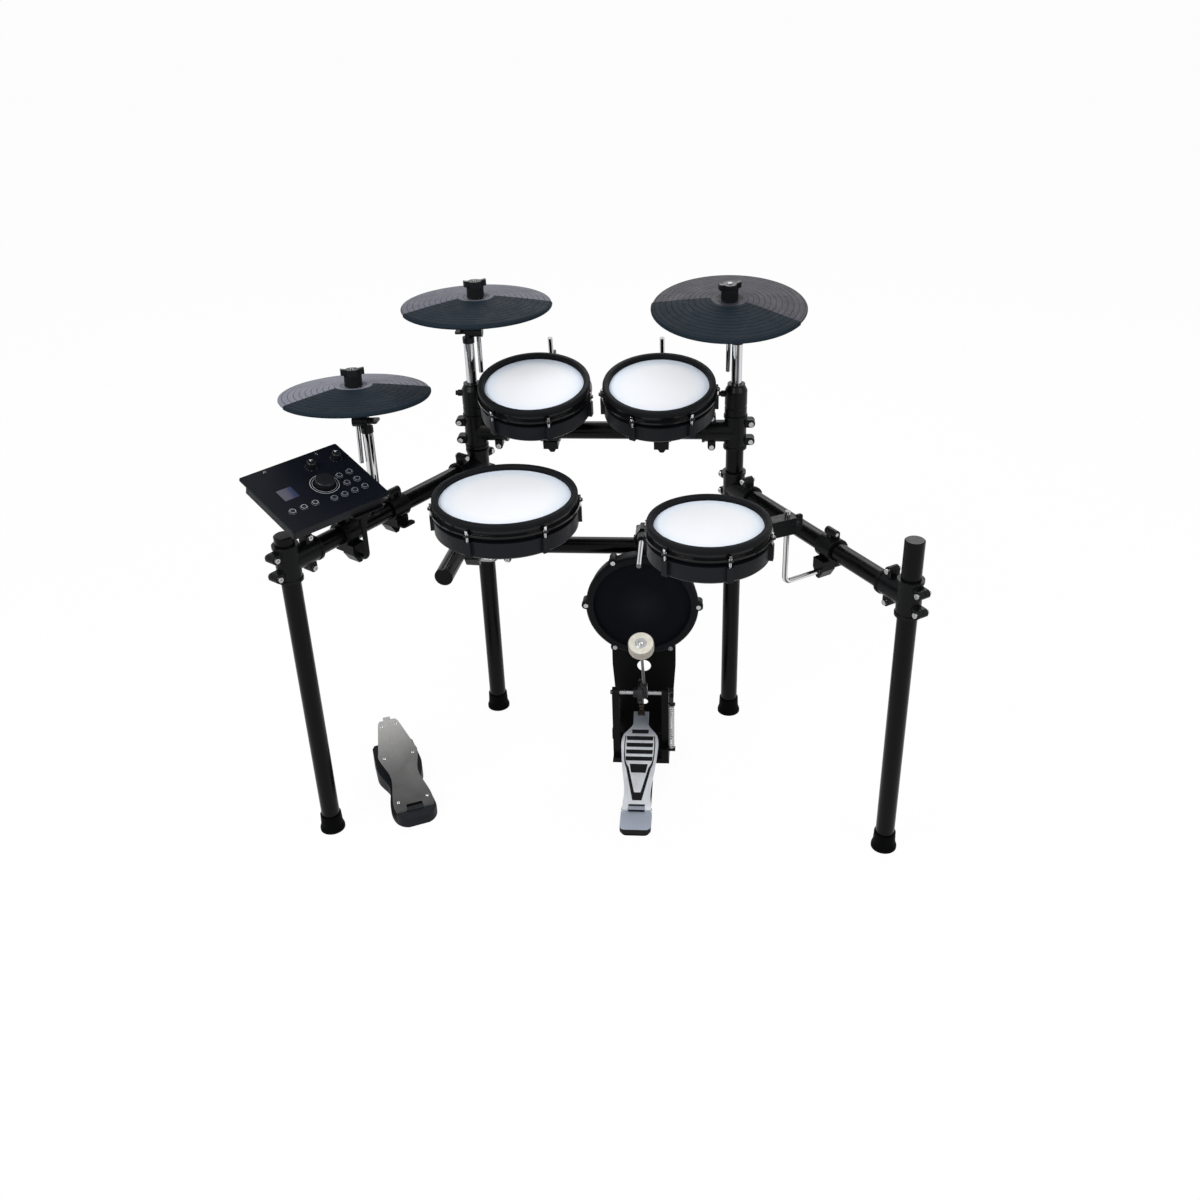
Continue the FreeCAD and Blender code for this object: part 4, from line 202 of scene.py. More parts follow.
def moulded(name, color, rough, grain, depth, vary=0.15, change=0.06, edge=0.0, **sockets):
    """Plastic, rubber, paint or metal with a fine grain and slow changes of tone and gloss."""
    look = Look(name, **sockets)
    slow = look.noise(22.0, 3.0)
    look.put("Base Color", look.mix(slow, tint(color, 1 - vary), tint(color, 1 + vary)))
    look.clouded(look.noise(90.0, 4.0), rough - change, rough + change)
    look.bump(look.noise(grain, 2.0), depth, 1.0, edge)
    return look.mat


def weave(name, centre, normal, radius, shade):
    """Woven mesh stretched over a drum: threads across each other, with painted shade, darker and
    bluer, towards the edge.
    """
    # shade below 1 darkens the whole mesh as painted shade.
    thread, gap = tint((0.86, 0.875, 0.90), shade), tint((0.70, 0.73, 0.78), shade)
    # Painted shade: the darker blue tone that the mesh takes near its edge.
    painted_edge_shade = (0.64, 0.73, 0.85)
    look = Look(name, 0.62, specular=0.25, sheen_weight=0.15, sheen_roughness=0.5)
    lattice = look.threads(0, 1, 0.0011)
    share = look.spread(lattice, 0.0, 1.0, -1.0, 0.4)
    reach = look.math("DIVIDE", look.axis_radius(centre, normal), radius)
    painted_edge_shading = look.ramp(reach, (0.0, thread), (0.72, tint(thread, 0.97)), (1.0, painted_edge_shade))
    tone = look.mix(look.spread(look.noise(9.0, 2.0), 0.0, 0.10), painted_edge_shading, tint(painted_edge_shade, 0.9))
    look.put("Base Color", look.mix(share, gap, tone))
    look.bump(lattice, 0.00012, 0.6)
    return look.mat


def grooved(name, centre, normal, color, rough, ior, line):
    """Cymbal face: thin turned lines round its axis over a slowly changing sheen."""
    pitch, line_share = 0.0115, 0.85
    look = Look(name, ior=ior)
    reach = look.axis_radius(centre, normal)
    wave = look.math("SINE", look.math("MULTIPLY", reach, ROUND / pitch))
    thin = look.spread(wave, 0.0, line_share, 0.84, 0.99)
    tone = look.mix(look.noise(9.0, 3.0), tint(color, 0.85), tint(color, 1.15))
    look.put("Base Color", look.mix(thin, tone, line))
    look.clouded(look.noise(45.0, 4.0), rough - 0.07, rough + 0.07)
    grain = look.math("MULTIPLY", look.noise(1500.0, 1.0), 0.25)
    look.bump(look.math("SUBTRACT", grain, thin), 0.0006, 0.8)
    return look.mat


def chrome_tube():
    """Polished chrome with a painted reflection: a dark strip of the room painted into its colour
    along its front.
    """
    photo_right = (0.997, 0.079, 0.0)
    look = Look("polished_chrome", metal=1.0)
    turn = look.vector("DOT_PRODUCT", look.facing, photo_right)
    # Painted reflection: the room's bright and dark bands, painted into the base colour by which
    # way the surface faces.
    room = look.ramp(look.spread(turn, 0.0, 1.0, -1.0, 1.0),
                     (0.0, (0.22, 0.22, 0.23)), (0.16, (0.70, 0.71, 0.73)),
                     (0.38, (0.52, 0.52, 0.53)), (0.47, (0.07, 0.068, 0.07)),
                     (0.62, (0.10, 0.092, 0.085)), (0.70, (0.66, 0.66, 0.67)),
                     (0.88, (0.72, 0.73, 0.75)), (1.0, (0.18, 0.18, 0.19)))
    dull = look.spread(look.noise(35.0, 3.0), 0.0, 0.16)
    look.put("Base Color", look.mix(dull, room, (0.3, 0.3, 0.31)))
    look.clouded(look.noise(120.0, 4.0), 0.06, 0.14)
    look.bump(look.noise(160.0, 2.0), 1e-5, 1.0, 0.0006)
    return look.mat


# Name, colour, roughness, scale and depth of the grain, then what differs from the usual.
MOULDED = {
    "tube": ("satin_black_tube", (0.0012, 0.0013, 0.0015), 0.25, 900.0, 1e-6, dict(ior=1.20)),
    "cap": ("tube_cap", (0.0100, 0.0095, 0.0105), 0.46, 1400.0, 4e-5,
            dict(edge=0.0012, specular=0.12)),
    "rubber": ("black_rubber", (0.0042, 0.0047, 0.0057), 0.60, 1600.0, 5e-5,
               dict(edge=0.0012, ior=1.18)),
    "foot": ("foot_rubber", (0.0008, 0.0009, 0.0011), 0.60, 1600.0, 4e-5,
             dict(edge=0.0012, ior=1.10)),
    "clamp": ("cast_clamp", (0.0030, 0.0033, 0.0038), 0.30, 700.0, 6e-6,
              dict(edge=0.0012, specular=0.11)),
    "wing": ("wing_plastic", (0.0042, 0.0048, 0.0055), 0.34, 1200.0, 4e-5,
             dict(edge=0.001, specular=0.15)),
    "shell": ("moulded_shell", (0.0052, 0.0057, 0.0076), 0.42, 1500.0, 4e-5,
              dict(edge=0.0012, ior=1.22)),
    "hoop": ("gloss_hoop", (0.0030, 0.0032, 0.0038), 0.17, 500.0, 1e-5,
             dict(change=0.03, edge=0.0008, specular=0.22)),
    "panel": ("module_panel", (0.0034, 0.0046, 0.0076), 0.36, 2600.0, 2e-5,
              dict(edge=0.0007, ior=1.14)),
    "key": ("key_cap", (0.0070, 0.0085, 0.0115), 0.42, 2000.0, 2e-5,
            dict(edge=0.0004, specular=0.16)),
    "knob": ("knob_rubber", (0.0050, 0.0058, 0.007), 0.40, 2000.0, 3e-5,
             dict(edge=0.0005, specular=0.18)),
    "sole": ("pedal_sole", (0.0075, 0.0084, 0.0110), 0.55, 1400.0, 6e-5,
             dict(edge=0.0015, ior=1.20)),
    "foam": ("grey_foam", (0.05, 0.05, 0.053), 0.9, 700.0, 3e-4, dict(specular=0.1)),
    "circuit": ("circuit_board", (0.01, 0.05, 0.02), 0.5, 400.0, 5e-5, {}),
    "bolt": ("plated_bolt", (0.46, 0.46, 0.47), 0.24, 800.0, 1e-5,
             dict(vary=0.1, metal=1.0, edge=0.0005)),
    "spring": ("spring_wire", (0.44, 0.44, 0.45), 0.22, 800.0, 1e-5, dict(vary=0.08, metal=1.0)),
    "steel": ("grey_steel", (0.34, 0.34, 0.35), 0.32, 600.0, 1e-5,
              dict(vary=0.12, metal=1.0, edge=0.0005)),
    "shaft": ("dark_shaft", (0.13, 0.13, 0.135), 0.34, 600.0, 1e-5, dict(vary=0.12, metal=1.0)),
    "chain": ("oiled_chain", (0.052, 0.042, 0.034), 0.36, 900.0, 2e-5,
              dict(vary=0.3, metal=0.9, edge=0.0003)),
    "kick_black": ("black_sheet_steel", (0.0024, 0.0024, 0.0027), 0.36, 1100.0, 3e-5,
                   dict(edge=0.0008, specular=0.08)),
    "print": ("printed_grey", (0.24, 0.26, 0.29), 0.5, 2500.0, 1e-5,
              dict(vary=0.08, specular=0.2)),
    "ring": ("printed_ring", (0.34, 0.35, 0.37), 0.5, 2500.0, 1e-5,
             dict(vary=0.08, specular=0.2)),
    # White of the knob pointers and of the painted highlight on each knob's edge.
    "mark": ("printed_white", (0.60, 0.61, 0.62), 0.5, 2500.0, 1e-5,
             dict(vary=0.06, specular=0.2)),
    "inlay": ("rubber_inlay", (0.0055, 0.0060, 0.007), 0.55, 1800.0, 4e-5, dict(specular=0.1)),
}
looks = {key: moulded(*plain, **more) for key, (*plain, more) in MOULDED.items()}
looks["chrome"] = chrome_tube()


def kick_face():
    """Black woven kick head with a lighter worn patch where the beater lands."""
    low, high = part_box("kick_head")
    centre = (low + high) / 2
    landing = (centre.x, low.y, centre.z - 0.004)
    look = Look("kick_head_cloth", 0.7, specular=0.05, sheen_weight=0.01, sheen_roughness=0.4)
    reach = look.vector("LENGTH", look.vector("SUBTRACT", look.place, landing))
    ragged = look.math("ADD", reach, look.spread(look.noise(90.0, 4.0), -0.012, 0.012))
    look.put("Base Color", look.ramp(ragged, (0.0, (0.0075, 0.0085, 0.011)),
                                     (0.035, (0.0045, 0.0054, 0.0075)),
                                     (0.06, (0.0026, 0.0034, 0.0052))))
    look.bump(look.threads(0, 2, 0.0012), 0.00015, 0.7)
    return look.mat


def felt():
    """Cream felt of the beater: a lit end face, and a side painted darker as painted shade."""
    look = Look("cream_felt", 0.95, specular=0.1, sheen_weight=0.3, sheen_roughness=0.6)
    cloud = look.noise(130.0, 5.0, rough=0.7)
    # Painted shade: faces that turn away from the end face get the darker side tone.
    facing_end = look.vector("DOT_PRODUCT", look.facing, leaning(28.0))
    end = look.spread(facing_end, 0.0, 1.0, 0.75, 0.95)
    shaded_side_tone = look.ramp(cloud, (0.25, (0.17, 0.155, 0.125)), (0.5, (0.25, 0.23, 0.19)),
                          (0.75, (0.33, 0.31, 0.27)))
    lit_end_tone = look.ramp(cloud, (0.25, (0.58, 0.55, 0.46)), (0.5, (0.64, 0.62, 0.54)),
                         (0.75, (0.74, 0.72, 0.65)))
    look.put("Base Color", look.mix(end, shaded_side_tone, lit_end_tone))
    look.bump(look.math("ADD", cloud, look.noise(900.0, 3.0)), 0.0007, 0.8)
    return look.mat


def board_metal():
    """Bright aluminium of the kick pedal's board, brushed along its length, darker at its toe."""
    look = Look("brushed_aluminium", metal=0.85, anisotropic=0.3)
    lines = look.streaks(BOARD_ALONG, 1500.0, 25.0)
    cloud = look.noise(30.0, 3.0)
    reach = look.vector("DOT_PRODUCT", look.place, BOARD_ALONG)
    toe = look.spread(reach, 0.0, 1.0, -0.020, 0.030)
    bright = look.mix(lines, (0.62, 0.65, 0.70), (0.90, 0.93, 0.97))
    look.put("Base Color", look.mix(toe, bright, (0.30, 0.33, 0.38)))
    look.clouded(cloud, 0.34, 0.48)
    look.bump(lines, 4e-5, 0.5, 0.0008)
    return look.mat


def heel_plate():
    """Grey plate on top of the pedal's black heel block."""
    look = Look("heel_plate", specular=0.1)
    top = look.spread(look.vector("DOT_PRODUCT", look.facing, UP), 0.0, 1.0, 0.80, 0.90)
    lines = look.streaks((0, 1, 0), 1500.0, 25.0)
    grey = look.mix(lines, (0.31, 0.345, 0.41), (0.46, 0.505, 0.60))
    look.put("Base Color", look.mix(top, (0.006, 0.006, 0.0065), grey))
    look.put("Metallic", look.math("MULTIPLY", top, 0.6))
    look.clouded(look.noise(40.0, 3.0), 0.40, 0.52)
    look.bump(lines, 4e-5, 0.4, 0.001)
    return look.mat


def axle_metal(middle):
    """Black hub, sprocket and spring lever, with the bare axle showing between them."""
    bare_from, bare_to = 0.0162, 0.0640
    look = Look("pedal_axle", specular=0.3)
    rel = look.vector("SUBTRACT", look.place, middle)
    side = look.math("ABSOLUTE", look.vector("DOT_PRODUCT", rel, (1, 0, 0)))
    bare = look.math("MULTIPLY", look.math("GREATER_THAN", side, bare_from),
                     look.math("LESS_THAN", side, bare_to))
    cloud = look.noise(60.0, 4.0)
    black = look.mix(cloud, (0.0045, 0.0045, 0.005), (0.009, 0.009, 0.010))
    steel = look.mix(cloud, (0.26, 0.26, 0.27), (0.40, 0.40, 0.41))
    look.put("Base Color", look.mix(bare, black, steel))
    look.put("Metallic", bare)
    look.clouded(cloud, 0.24, 0.36)
    look.bump(look.noise(800.0, 2.0), 2e-5, 1.0, 0.0006)
    return look.mat


def hat_metal():
    """Dark brushed plate of the hi-hat pedal, paler towards its toe."""
    turn, half = math.radians(25.7), 0.12
    way = (-math.sin(turn), math.cos(turn), 0.0)
    low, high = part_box("hihat_pedal_board")
    middle = Vector(((low.x + high.x) / 2, (low.y + high.y) / 2, 0))
    look = Look("dark_brushed_plate", 0.45, 0.85, specular=0.4, anisotropic=0.3)
    lines = look.streaks(way, 1800.0, 18.0)
    reach = look.vector("DOT_PRODUCT", look.vector("SUBTRACT", look.place, middle), way)
    tone = look.ramp(look.spread(reach, 0.0, 1.0, -half, half), (0.0, (0.085, 0.084, 0.083)),
                     (0.55, (0.185, 0.184, 0.182)), (1.0, (0.40, 0.396, 0.388)))
    dark = look.spread(lines, 0.0, 0.55, 0.35, 0.65)
    look.put("Base Color", look.mix(dark, tone, (0.05, 0.05, 0.05)))
    look.clouded(look.noise(40.0, 3.0), 0.38, 0.52)
    look.bump(lines, 4e-5, 0.5, 0.0007)
    return look.mat


def display(centre, across, up):
    """Liquid crystal behind its window: lilac grey at the left, deep blue at the right."""
    half = 0.016
    look = Look("lcd_window", 0.12, specular=0.12)
    rel = look.vector("SUBTRACT", look.place, centre)
    along = look.spread(look.vector("DOT_PRODUCT", rel, across), 0.0, 1.0, -half, half)
    height = look.spread(look.vector("DOT_PRODUCT", rel, up), 0.0, 1.0, -half, half)
    tone = look.ramp(look.math("ADD", along, look.math("MULTIPLY", height, -0.12)),
                     (0.0, (0.080, 0.077, 0.096)), (0.45, (0.062, 0.061, 0.088)),
                     (0.74, (0.018, 0.025, 0.068)), (1.0, (0.012, 0.016, 0.05)))
    cells = look.math("MULTIPLY", look.math("SINE", look.math("MULTIPLY", along, 520.0)),
                      look.math("SINE", look.math("MULTIPLY", height, 320.0)))
    faint = look.spread(cells, 0.0, 0.12, -1.0, 1.0)
    look.put("Base Color", look.mix(faint, tone, (0.02, 0.02, 0.03)))
    return look.mat


# ---------------------------------------------------------------- painting the carried-over solids
def islands(mesh):
    """Number of the solid that each face belongs to, in the order of the model."""
    points = np.empty(len(mesh.vertices) * 3, np.float32)
    mesh.vertices.foreach_get("co", points)
    grid = np.round(points.reshape(-1, 3) * 1e6).astype(np.int64)
    same = np.unique(grid, axis=0, return_inverse=True)[1].reshape(-1)
    corners = np.empty(len(mesh.loops), np.int64)
    mesh.loops.foreach_get("vertex_index", corners)
    corners = same[corners].reshape(-1, 3)
    label = np.arange(same.max() + 1)
    while True:
        spread = label.copy()
        np.minimum.at(spread, corners.ravel(), np.repeat(label[corners].min(axis=1), 3))
        spread = spread[spread]
        if (spread == label).all():
            break
        label = spread
    faces = label[corners[:, 0]]
    order = {name: k for k, name in enumerate(dict.fromkeys(faces.tolist()))}
    return np.array([order[name] for name in faces.tolist()])


def paint(node, *materials):
    """Gives each solid of a node its material; the last one named goes on to the rest."""
    mesh = nodes[node].data
    solids = islands(mesh)
    used = list(dict.fromkeys(materials))
    mesh.materials.clear()
    for material in used:
        mesh.materials.append(looks[material])
    index = [used.index(materials[min(k, len(materials) - 1)]) for k in solids]
    mesh.polygons.foreach_set("material_index", np.array(index, np.int32))
    mesh.update()


TEE = ["clamp", "clamp"] + ["bolt"] * 4
JAWS = ["clamp", "clamp", "bolt", "wing"]
for node in ("left_rear_post", "right_rear_post", "upper_crossbar", "lower_crossbar",
             "left_side_arm", "right_side_arm"):
    paint(node, "tube")
paint("snare_arm", "tube", "cap")
paint("rear_feet", "foot")
for node in ("left_front_leg", "right_front_leg"):
    paint(node, "tube", "foot", "cap")
paint("rear_clamps", *(TEE * 5 + ["clamp", "wing"] * 2))
paint("right_clamps", *(TEE * 2))
paint("left_clamps", *(TEE * 2 + JAWS + ["wing"] + JAWS + ["clamp", "clamp"]))

# How far each pad leans, in degrees, and how bright its mesh is; the toms' meshes are painted
# darker than the snare's as painted shade.
PADS = {"snare": (0.0, 1.0), "left_tom": (12.0, 0.93), "right_tom": (12.0, 0.93),
        "floor_tom": (0.0, 0.93)}
for name in PADS:
    paint(name + "_mount", *JAWS, "chrome")
    paint(name + "_shell", "shell", "clamp", "wing", "steel", "foam", "hoop", "rubber", "chrome")
    paint(name + "_head", "print")

# Each cymbal's ball, its lean in degrees and its colour: a dark grey made lighter on the hi-hat and
# crash by painted sheen and darker on the ride by painted shade.
CYMBALS = {"crash": ((-0.2461, 0.1930, 1.0120), -1.0, (0.098, 0.100, 0.124)),
           "ride": ((0.2729, 0.1832, 1.0095), 7.5, (0.034, 0.034, 0.044)),
           "hihat": ((-0.4684, 0.0067, 0.8887), -5.0, (0.155, 0.159, 0.195))}
ZONE, ZONE_LINE = (0.012, 0.018, 0.025), (0.0020, 0.0030, 0.0042)
for name, (ball, lean, bow) in CYMBALS.items():
    bow_name, zone_name = name + "_bow", name + "_zone"
    looks[bow_name] = grooved(bow_name, ball, leaning(lean), bow, 0.42, 1.12, tint(bow, 0.16))
    looks[zone_name] = grooved(zone_name, ball, leaning(lean), ZONE, 0.5, 1.07, ZONE_LINE)
    paint(name + "_stand", "chrome", "wing")
    paint(name + "_boom", "wing", "chrome", "wing", "rubber", "wing", "wing", "rubber")
    paint(name + "_cymbal", bow_name, zone_name)

board_low, board_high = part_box("kick_footboard")
BOARD_X = (board_low.x + board_high.x) / 2
looks["axle"] = axle_metal((BOARD_X, 0, 0))
looks["heel"] = heel_plate()
looks["kick_face"] = kick_face()
looks["felt"] = felt()
looks["board"] = board_metal()
looks["hat_plate"] = hat_metal()
paint("kick_shell", "shell", "rubber", "bolt")
paint("kick_head", "kick_face", "foam")
paint("kick_tower", "kick_black", "wing")
paint("kick_brace", *JAWS, "chrome")
paint("kick_pedal_frame", "kick_black", "heel", "bolt")
paint("kick_footboard", "board", "chain", "inlay")
paint("kick_beater", "axle", "shaft", "felt", "bolt")
paint("kick_chain", "chain")
paint("kick_spring", "steel")
paint("hihat_pedal_base", "sole", "bolt", "rubber")
paint("hihat_pedal_board", "hat_plate", "chrome")

# The module's own frame: X and Y along its panel, Z out of it, origin in the panel's middle.
TURN, TILT = math.radians(50.5), math.radians(18.9)
MODULE_X = Vector((math.cos(TURN), math.sin(TURN), 0))
MODULE_Z = Vector((math.sin(TURN) * math.sin(TILT), -math.cos(TURN) * math.sin(TILT),
                   math.cos(TILT)))
MODULE_Y = MODULE_Z.cross(MODULE_X)
MODULE = Matrix((MODULE_X, MODULE_Y, MODULE_Z)).transposed().to_4x4()
MODULE.translation = Vector((-0.5070, -0.19125, 0.7674))
LCD_AT = Vector((-0.0565, 0.0063, 0))
looks["lcd"] = display(MODULE @ LCD_AT, tuple(MODULE_X), tuple(MODULE_Y))
paint("module_case", "panel", "shell", "circuit", "lcd", "kick_black", "wing",
      "steel", "steel", "steel", "chrome")
for node in ("module_dial", "module_knob_left", "module_knob_right"):
    paint(node, "knob")
KEYS = ["pad_key_%d" % k for k in range(1, 9)] + ["menu_key_%d" % k for k in range(1, 4)]
for node in KEYS:
    paint(node, "key")


# ---------------------------------------------------------------- pieces of the scene
def piece(name, points, faces, material, body, smooth=True):
    """New object from points and faces, which rides on a body if one is named."""
    mesh = bpy.data.meshes.new(name)
    mesh.from_pydata([tuple(p) for p in points], [], faces)
    mesh.validate()
    if smooth:
        mesh.shade_smooth()
    mesh.materials.append(looks[material])
    made = bpy.data.objects.new(name, mesh)
    scene.collection.objects.link(made)
    if body:
        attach(made, body)
    return made


def on_circle(k, sides):
    angle = ROUND * k / sides
    return math.cos(angle), math.sin(angle)


def tube_faces(rows, sides):
    """Faces between rows of points that each go once round."""
    return [(row * sides + k, row * sides + (k + 1) % sides,
             (row + 1) * sides + (k + 1) % sides, (row + 1) * sides + k)
            for row in range(rows - 1) for k in range(sides)]


HEAD_SIDES, HEAD_RINGS = 96, 24
HEAD_UP = 0.0050  # above the middle of the head's solid
HEAD_MARGIN = 0.0045  # inside the edge of the head's solid
HEAD_CROWN = 0.0004
HEAD_EYE = 0.00002  # radius of the first ring
HEAD_BEND = (0.0022, 0.0008, 0.0002)  # rings before the edge
HEAD_SKIRT = (-0.0006, -0.0060)  # heights of the edge


def mesh_head(name, lean, shade):
    """Stretched mesh of one pad, slightly crowned, with a skirt that goes down inside the hoop."""
    low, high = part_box(name + "_head")
    normal = Vector(leaning(lean))
    radius = (high.x - low.x) / 2 - HEAD_MARGIN
    place = Vector(UP).rotation_difference(normal).to_matrix().to_4x4()
    place.translation = (low + high) / 2 + normal * HEAD_UP
    net = name + "_net"
    looks[net] = weave(net, tuple(place.translation), tuple(normal), radius, shade)
    rings = [HEAD_EYE] + [radius * k / HEAD_RINGS for k in range(1, HEAD_RINGS)]
    rings += [radius - inside for inside in HEAD_BEND]
    outline = [(r, HEAD_CROWN * (1 - (r / radius) ** 2)) for r in rings]
    outline += [(radius, height) for height in HEAD_SKIRT]
    points = []
    for r, height in outline:
        for k in range(HEAD_SIDES):
            across, along = on_circle(k, HEAD_SIDES)
            points.append(place @ Vector((r * across, r * along, height)))
    faces = tube_faces(len(outline), HEAD_SIDES)
    head = piece(name + "_mesh", points, faces, net, name + "_pad")
    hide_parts(name + "_head")


for name, (lean, shade) in PADS.items():
    mesh_head(name, lean, shade)


def swept(path, radius, sides):
    """Round wire along points, with its frame carried along without twist, closed at its ends."""
    points = []
    side = None
    for k, at in enumerate(path):
        ahead = (path[min(k + 1, len(path) - 1)] - path[max(k - 1, 0)]).normalized()
        if side is None:
            side = ahead.orthogonal().normalized()
        side = (side - ahead * side.dot(ahead)).normalized()
        other = ahead.cross(side)
        for s in range(sides):
            near, far = on_circle(s, sides)
            points.append(at + (side * near + other * far) * radius)
    last = (len(path) - 1) * sides
    ends = [tuple(range(sides))[::-1], tuple(range(last, last + sides))]
    return points, tube_faces(len(path), sides) + ends


SPRING_WIRE, SPRING_SIDES = 0.0012, 10
SPRING_TURNS, SPRING_STEPS = 18, 20  # open turns, and points on each turn
SPRING_CLOSED = 2.4 * SPRING_WIRE  # rise of the closed turn at each end


def return_spring():
    """Coil of the kick pedal's return spring, closed up at both ends."""
    low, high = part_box("kick_spring")
    radius = (high.x - low.x) / 2 - SPRING_WIRE
    x, y = (low.x + high.x) / 2, (low.y + high.y) / 2
    start, end = low.z + SPRING_WIRE, high.z - SPRING_WIRE
    path = []
    for k in range((SPRING_TURNS + 2) * SPRING_STEPS + 1):
        turn = k / SPRING_STEPS
        closed = min(turn, 1.0) * SPRING_CLOSED
        opened = min(max((turn - 1) / SPRING_TURNS, 0.0), 1.0) * (end - start - 2 * SPRING_CLOSED)
        last = max(turn - SPRING_TURNS - 1, 0.0) * SPRING_CLOSED
        path.append(Vector((x + radius * math.cos(ROUND * turn),
                            y + radius * math.sin(ROUND * turn),
                            start + closed + opened + last)))
    coil = piece("return_spring_coil", *swept(path, SPRING_WIRE, SPRING_SIDES), "spring", None)
    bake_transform(coil)
    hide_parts("kick_spring")


return_spring()

CHAIN_LEAVES = 0.172  # height at which the chain leaves the sprocket, just under the axle


def chain_halves():
    """Links round the sprocket turn with the beater, the hanging ones go with the footboard."""
    mesh = nodes["kick_chain"].data
    solids = islands(mesh)
    groups = {"chain_on_sprocket": ("kick_beater", []), "chain_hanging": ("kick_footboard", [])}
    for k in range(solids.max() + 1):
        ids = np.nonzero(solids == k)[0]
        height = np.mean([mesh.polygons[i].center[2] for i in ids])
        name = "chain_on_sprocket" if height > CHAIN_LEAVES else "chain_hanging"
        groups[name][1].extend(ids.tolist())
    for name, (body, ids) in groups.items():
        used = {}
        faces = [[used.setdefault(v, len(used)) for v in mesh.polygons[i].vertices] for i in ids]
        points = [mesh.vertices[v].co.copy() for v in used]
        half = piece(name, points, faces, "chain", body, smooth=False)
        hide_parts("kick_chain")


chain_halves()


def flat_ring(centre, inner, outer, height, sides=48):
    """Flat printed ring on the module's panel."""
    points = []
    for radius in (inner, outer):
        for k in range(sides):
            across, along = on_circle(k, sides)
            points.append(MODULE @ Vector((centre[0] + radius * across,
                                           centre[1] + radius * along, height)))
    faces = [(k, sides + k, sides + (k + 1) % sides, (k + 1) % sides) for k in range(sides)]
    return points, faces


def strip(start, end, width, height):
    """Flat printed line on the module's panel."""
    start, end = Vector(start), Vector(end)
    side = (end - start).orthogonal().normalized() * width / 2
    corners = (start - side, start + side, end + side, end - side)
    return [MODULE @ Vector((*corner, height)) for corner in corners], [(0, 3, 2, 1)]


def gathered(parts):
    """One list of points and one of faces from several."""
    points, faces = [], []
    for more, added in parts:
        faces += [tuple(v + len(points) for v in face) for face in added]
        points += more
    return points, faces


PRINT_LIFT = 0.00012  # of a print above its face
KEY_TOP, DIAL_TOP, KNOB_TOP, KNOB_EDGE = 0.0025, 0.0010, 0.0135, 0.0130
MENU_RING, PAD_RING, PANEL_RING = (0.0048, 0.0057), (0.0050, 0.0057), (0.0068, 0.0073)
DIAL_AT, DIAL_RINGS, DIAL_SIDES = (0.0174, -0.0050), ((0.0270, 0.0280), (0.0229, 0.0236)), 96
KNOB_X, KNOB_Y = {"left": 0.0255, "right": 0.083}, 0.050
SCALE_FROM, SCALE_TO, SCALE_WIDE = 0.0105, 0.0122, 0.0005


def module_print(name, parts, material, body):
    made = piece(name, *gathered(parts), material, body, smooth=False)


def module_prints():
    """Rings on and round the keys and the dial, scales round the knobs, and their pointers, each
    with a painted highlight along the knob's edge.
    """
    inverse = MODULE.inverted()
    prints = []
    for node in KEYS:
        low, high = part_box(node)
        at = inverse @ ((low + high) / 2)
        size, material = (MENU_RING, "ring") if node.startswith("menu") else (PAD_RING, "print")
        module_print(node + "_ring", [flat_ring(at, *size, KEY_TOP + PRINT_LIFT)], material, node)
        prints.append(flat_ring(at, *PANEL_RING, PRINT_LIFT))
    for x in KNOB_X.values():
        spot = Vector((x, KNOB_Y))
        for degrees in range(-60, 241, 30):
            angle = math.radians(degrees)
            way = Vector((math.cos(angle), math.sin(angle)))
            prints.append(strip(spot + way * SCALE_FROM, spot + way * SCALE_TO, SCALE_WIDE,
                                PRINT_LIFT))
    rings = [flat_ring(DIAL_AT, *size, DIAL_TOP + PRINT_LIFT, DIAL_SIDES) for size in DIAL_RINGS]
    module_print("dial_rings", rings, "ring", "module")
    module_print("module_prints", prints, "print", "module")
    for name, x in KNOB_X.items():
        stroke = strip((x, 0.0515), (x, 0.0572), 0.0018, KNOB_TOP + PRINT_LIFT)
        # Painted highlight: a white strip along the knob's right-front edge.
        edge = strip((x - 0.0004, 0.0570), (x + 0.0055, 0.0545), 0.0008, KNOB_EDGE + PRINT_LIFT)
        module_print("knob_%s_mark" % name, [stroke, edge], "mark", "module_knob_" + name)


module_prints()

HINGE_Y, HINGE_Z = -0.20315, 0.0150
BOARD_TOP = 0.00712  # of the lines, above the board's hinge
# Distance from the hinge, inner and outer edge of the line.
BOARD_EDGES = [(0.1000, 0.0220, 0.0280), (0.1080, 0.0262, 0.0306), (0.1180, 0.0296, 0.0324),
               (0.1350, 0.0316, 0.0338), (0.1600, 0.0324, 0.0345), (0.1820, 0.0312, 0.0331)]


def board_lines():
    """Thin dark lines along the pedal board's sides, which run on from its dark vee."""
    start = Vector((BOARD_X, HINGE_Y, HINGE_Z)) + Vector(BOARD_UP) * BOARD_TOP
    points, faces = [], []
    for side in (-1, 1):
        first = len(points)
        for reach, inner, outer in BOARD_EDGES:
            at = start + Vector(BOARD_ALONG) * reach
            points += [at + Vector((side * out, 0, 0)) for out in (inner, outer)]
        for a in range(first, len(points) - 2, 2):
            faces.append((a, a + 1, a + 3, a + 2) if side > 0 else (a + 1, a, a + 2, a + 3))
    made = piece("board_grooves", points, faces, "inlay", "kick_footboard", smooth=False)


board_lines()


# ---------------------------------------------------------------- stage, light and camera
def seen_directly(tree):
    """1 for rays from the camera, a mirror or a glass, 0 for rays that only carry light."""
    path = tree.nodes.new("ShaderNodeLightPath")
    seen = path.outputs["Is Camera Ray"]
    for kind in ("Is Glossy Ray", "Is Transmission Ray"):
        either = tree.nodes.new("ShaderNodeMath")
        either.operation = "MAXIMUM"
        tree.links.new(seen, either.inputs[0])
        tree.links.new(path.outputs[kind], either.inputs[1])
        seen = either.outputs[0]
    return seen


FLOOR_HALF, FLOOR_WHITE = 40.0, 0.96


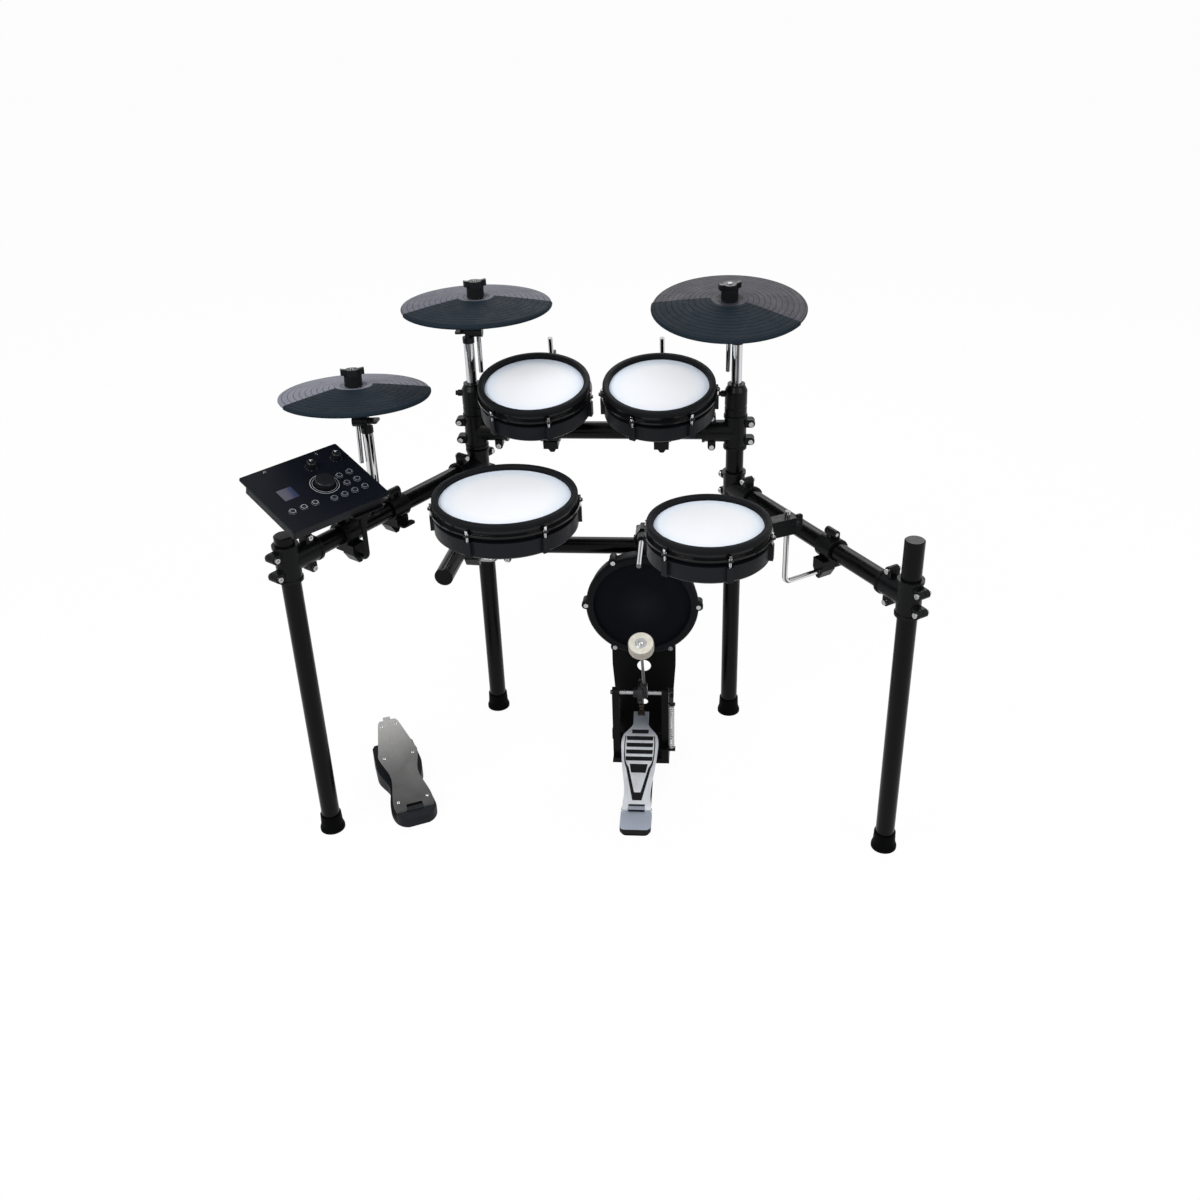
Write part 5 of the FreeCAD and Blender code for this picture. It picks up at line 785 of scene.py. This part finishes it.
def floor():
    """Pale floor that is nearly white where it is seen, and still takes a faint shadow."""
    look = Look("pale_floor", 0.6, specular=0.2)
    shade = look.noise(3.0, 2.0)
    look.put("Base Color", look.mix(shade, (0.80, 0.80, 0.80), (0.83, 0.83, 0.83)))
    bright = look.tree.nodes.new("ShaderNodeEmission")
    blend = look.tree.nodes.new("ShaderNodeMixShader")
    look.feed(blend.inputs[0], look.math("MULTIPLY", seen_directly(look.tree), FLOOR_WHITE))
    look.feed(blend.inputs[1], look.shader.outputs[0])
    look.feed(blend.inputs[2], bright.outputs[0])
    look.feed(look.out.inputs[0], blend.outputs[0])
    looks["floor"] = look.mat
    corners = [(x * FLOOR_HALF, y * FLOOR_HALF, 0) for x, y in ((-1, -1), (1, -1), (1, 1), (-1, 1))]
    piece("floor", corners, [(0, 1, 2, 3)], "floor", None, smooth=False)


floor()


def world():
    """White room that is seen at full strength and lights with about half of it."""
    made = bpy.data.worlds.new("studio")
    made.use_nodes = True
    tree = made.node_tree
    tree.nodes.clear()
    level = tree.nodes.new("ShaderNodeMapRange")
    level.inputs["To Min"].default_value = 0.55
    level.inputs["To Max"].default_value = 1.0
    tree.links.new(seen_directly(tree), level.inputs[0])
    back = tree.nodes.new("ShaderNodeBackground")
    back.inputs[0].default_value = (1, 1, 1, 1)
    tree.links.new(level.outputs[0], back.inputs[1])
    out = tree.nodes.new("ShaderNodeOutputWorld")
    tree.links.new(back.outputs[0], out.inputs[0])
    scene.world = made


world()


def lamp(name, at, target, size, power):
    """Rectangular area light that points at a target."""
    data = bpy.data.lights.new(name, "AREA")
    data.shape = "RECTANGLE"
    data.size, data.size_y = size
    data.energy = power
    made = bpy.data.objects.new(name, data)
    scene.collection.objects.link(made)
    made.location = at
    made.rotation_euler = (Vector(target) - Vector(at)).to_track_quat("-Z", "Y").to_euler()


lamp("key_light", (-1.8, -2.2, 3.0), (0, 0, 0.6), (1.8, 1.8), 95)
lamp("fill_light", (2.4, -1.8, 2.2), (0, 0, 0.6), (1.6, 2.2), 45)
lamp("back_light", (0.4, 2.4, 2.6), (0, 0, 0.7), (2.6, 1.2), 40)


def camera():
    """Camera fitted to the photograph."""
    yaw, pitch, roll = math.radians(-4.55), math.radians(28.77), math.radians(-1.45)
    ahead = Vector((math.sin(yaw) * math.cos(pitch), math.cos(yaw) * math.cos(pitch),
                    -math.sin(pitch)))
    level = Vector((math.cos(yaw), -math.sin(yaw), 0))
    high = level.cross(ahead)
    right = level * math.cos(roll) + high * math.sin(roll)
    up = high * math.cos(roll) - level * math.sin(roll)
    data = bpy.data.cameras.new("photo_camera")
    data.sensor_width = 36.0
    data.lens = 37.26
    data.shift_x, data.shift_y = -0.0158, -0.0281
    made = bpy.data.objects.new("photo_camera", data)
    scene.collection.objects.link(made)
    place = Matrix((right, up, -ahead)).transposed().to_4x4()
    place.translation = Vector((0.2315, -2.2794, 1.7524))
    made.matrix_world = place
    scene.camera = made


camera()
scene.view_settings.view_transform = "Standard"
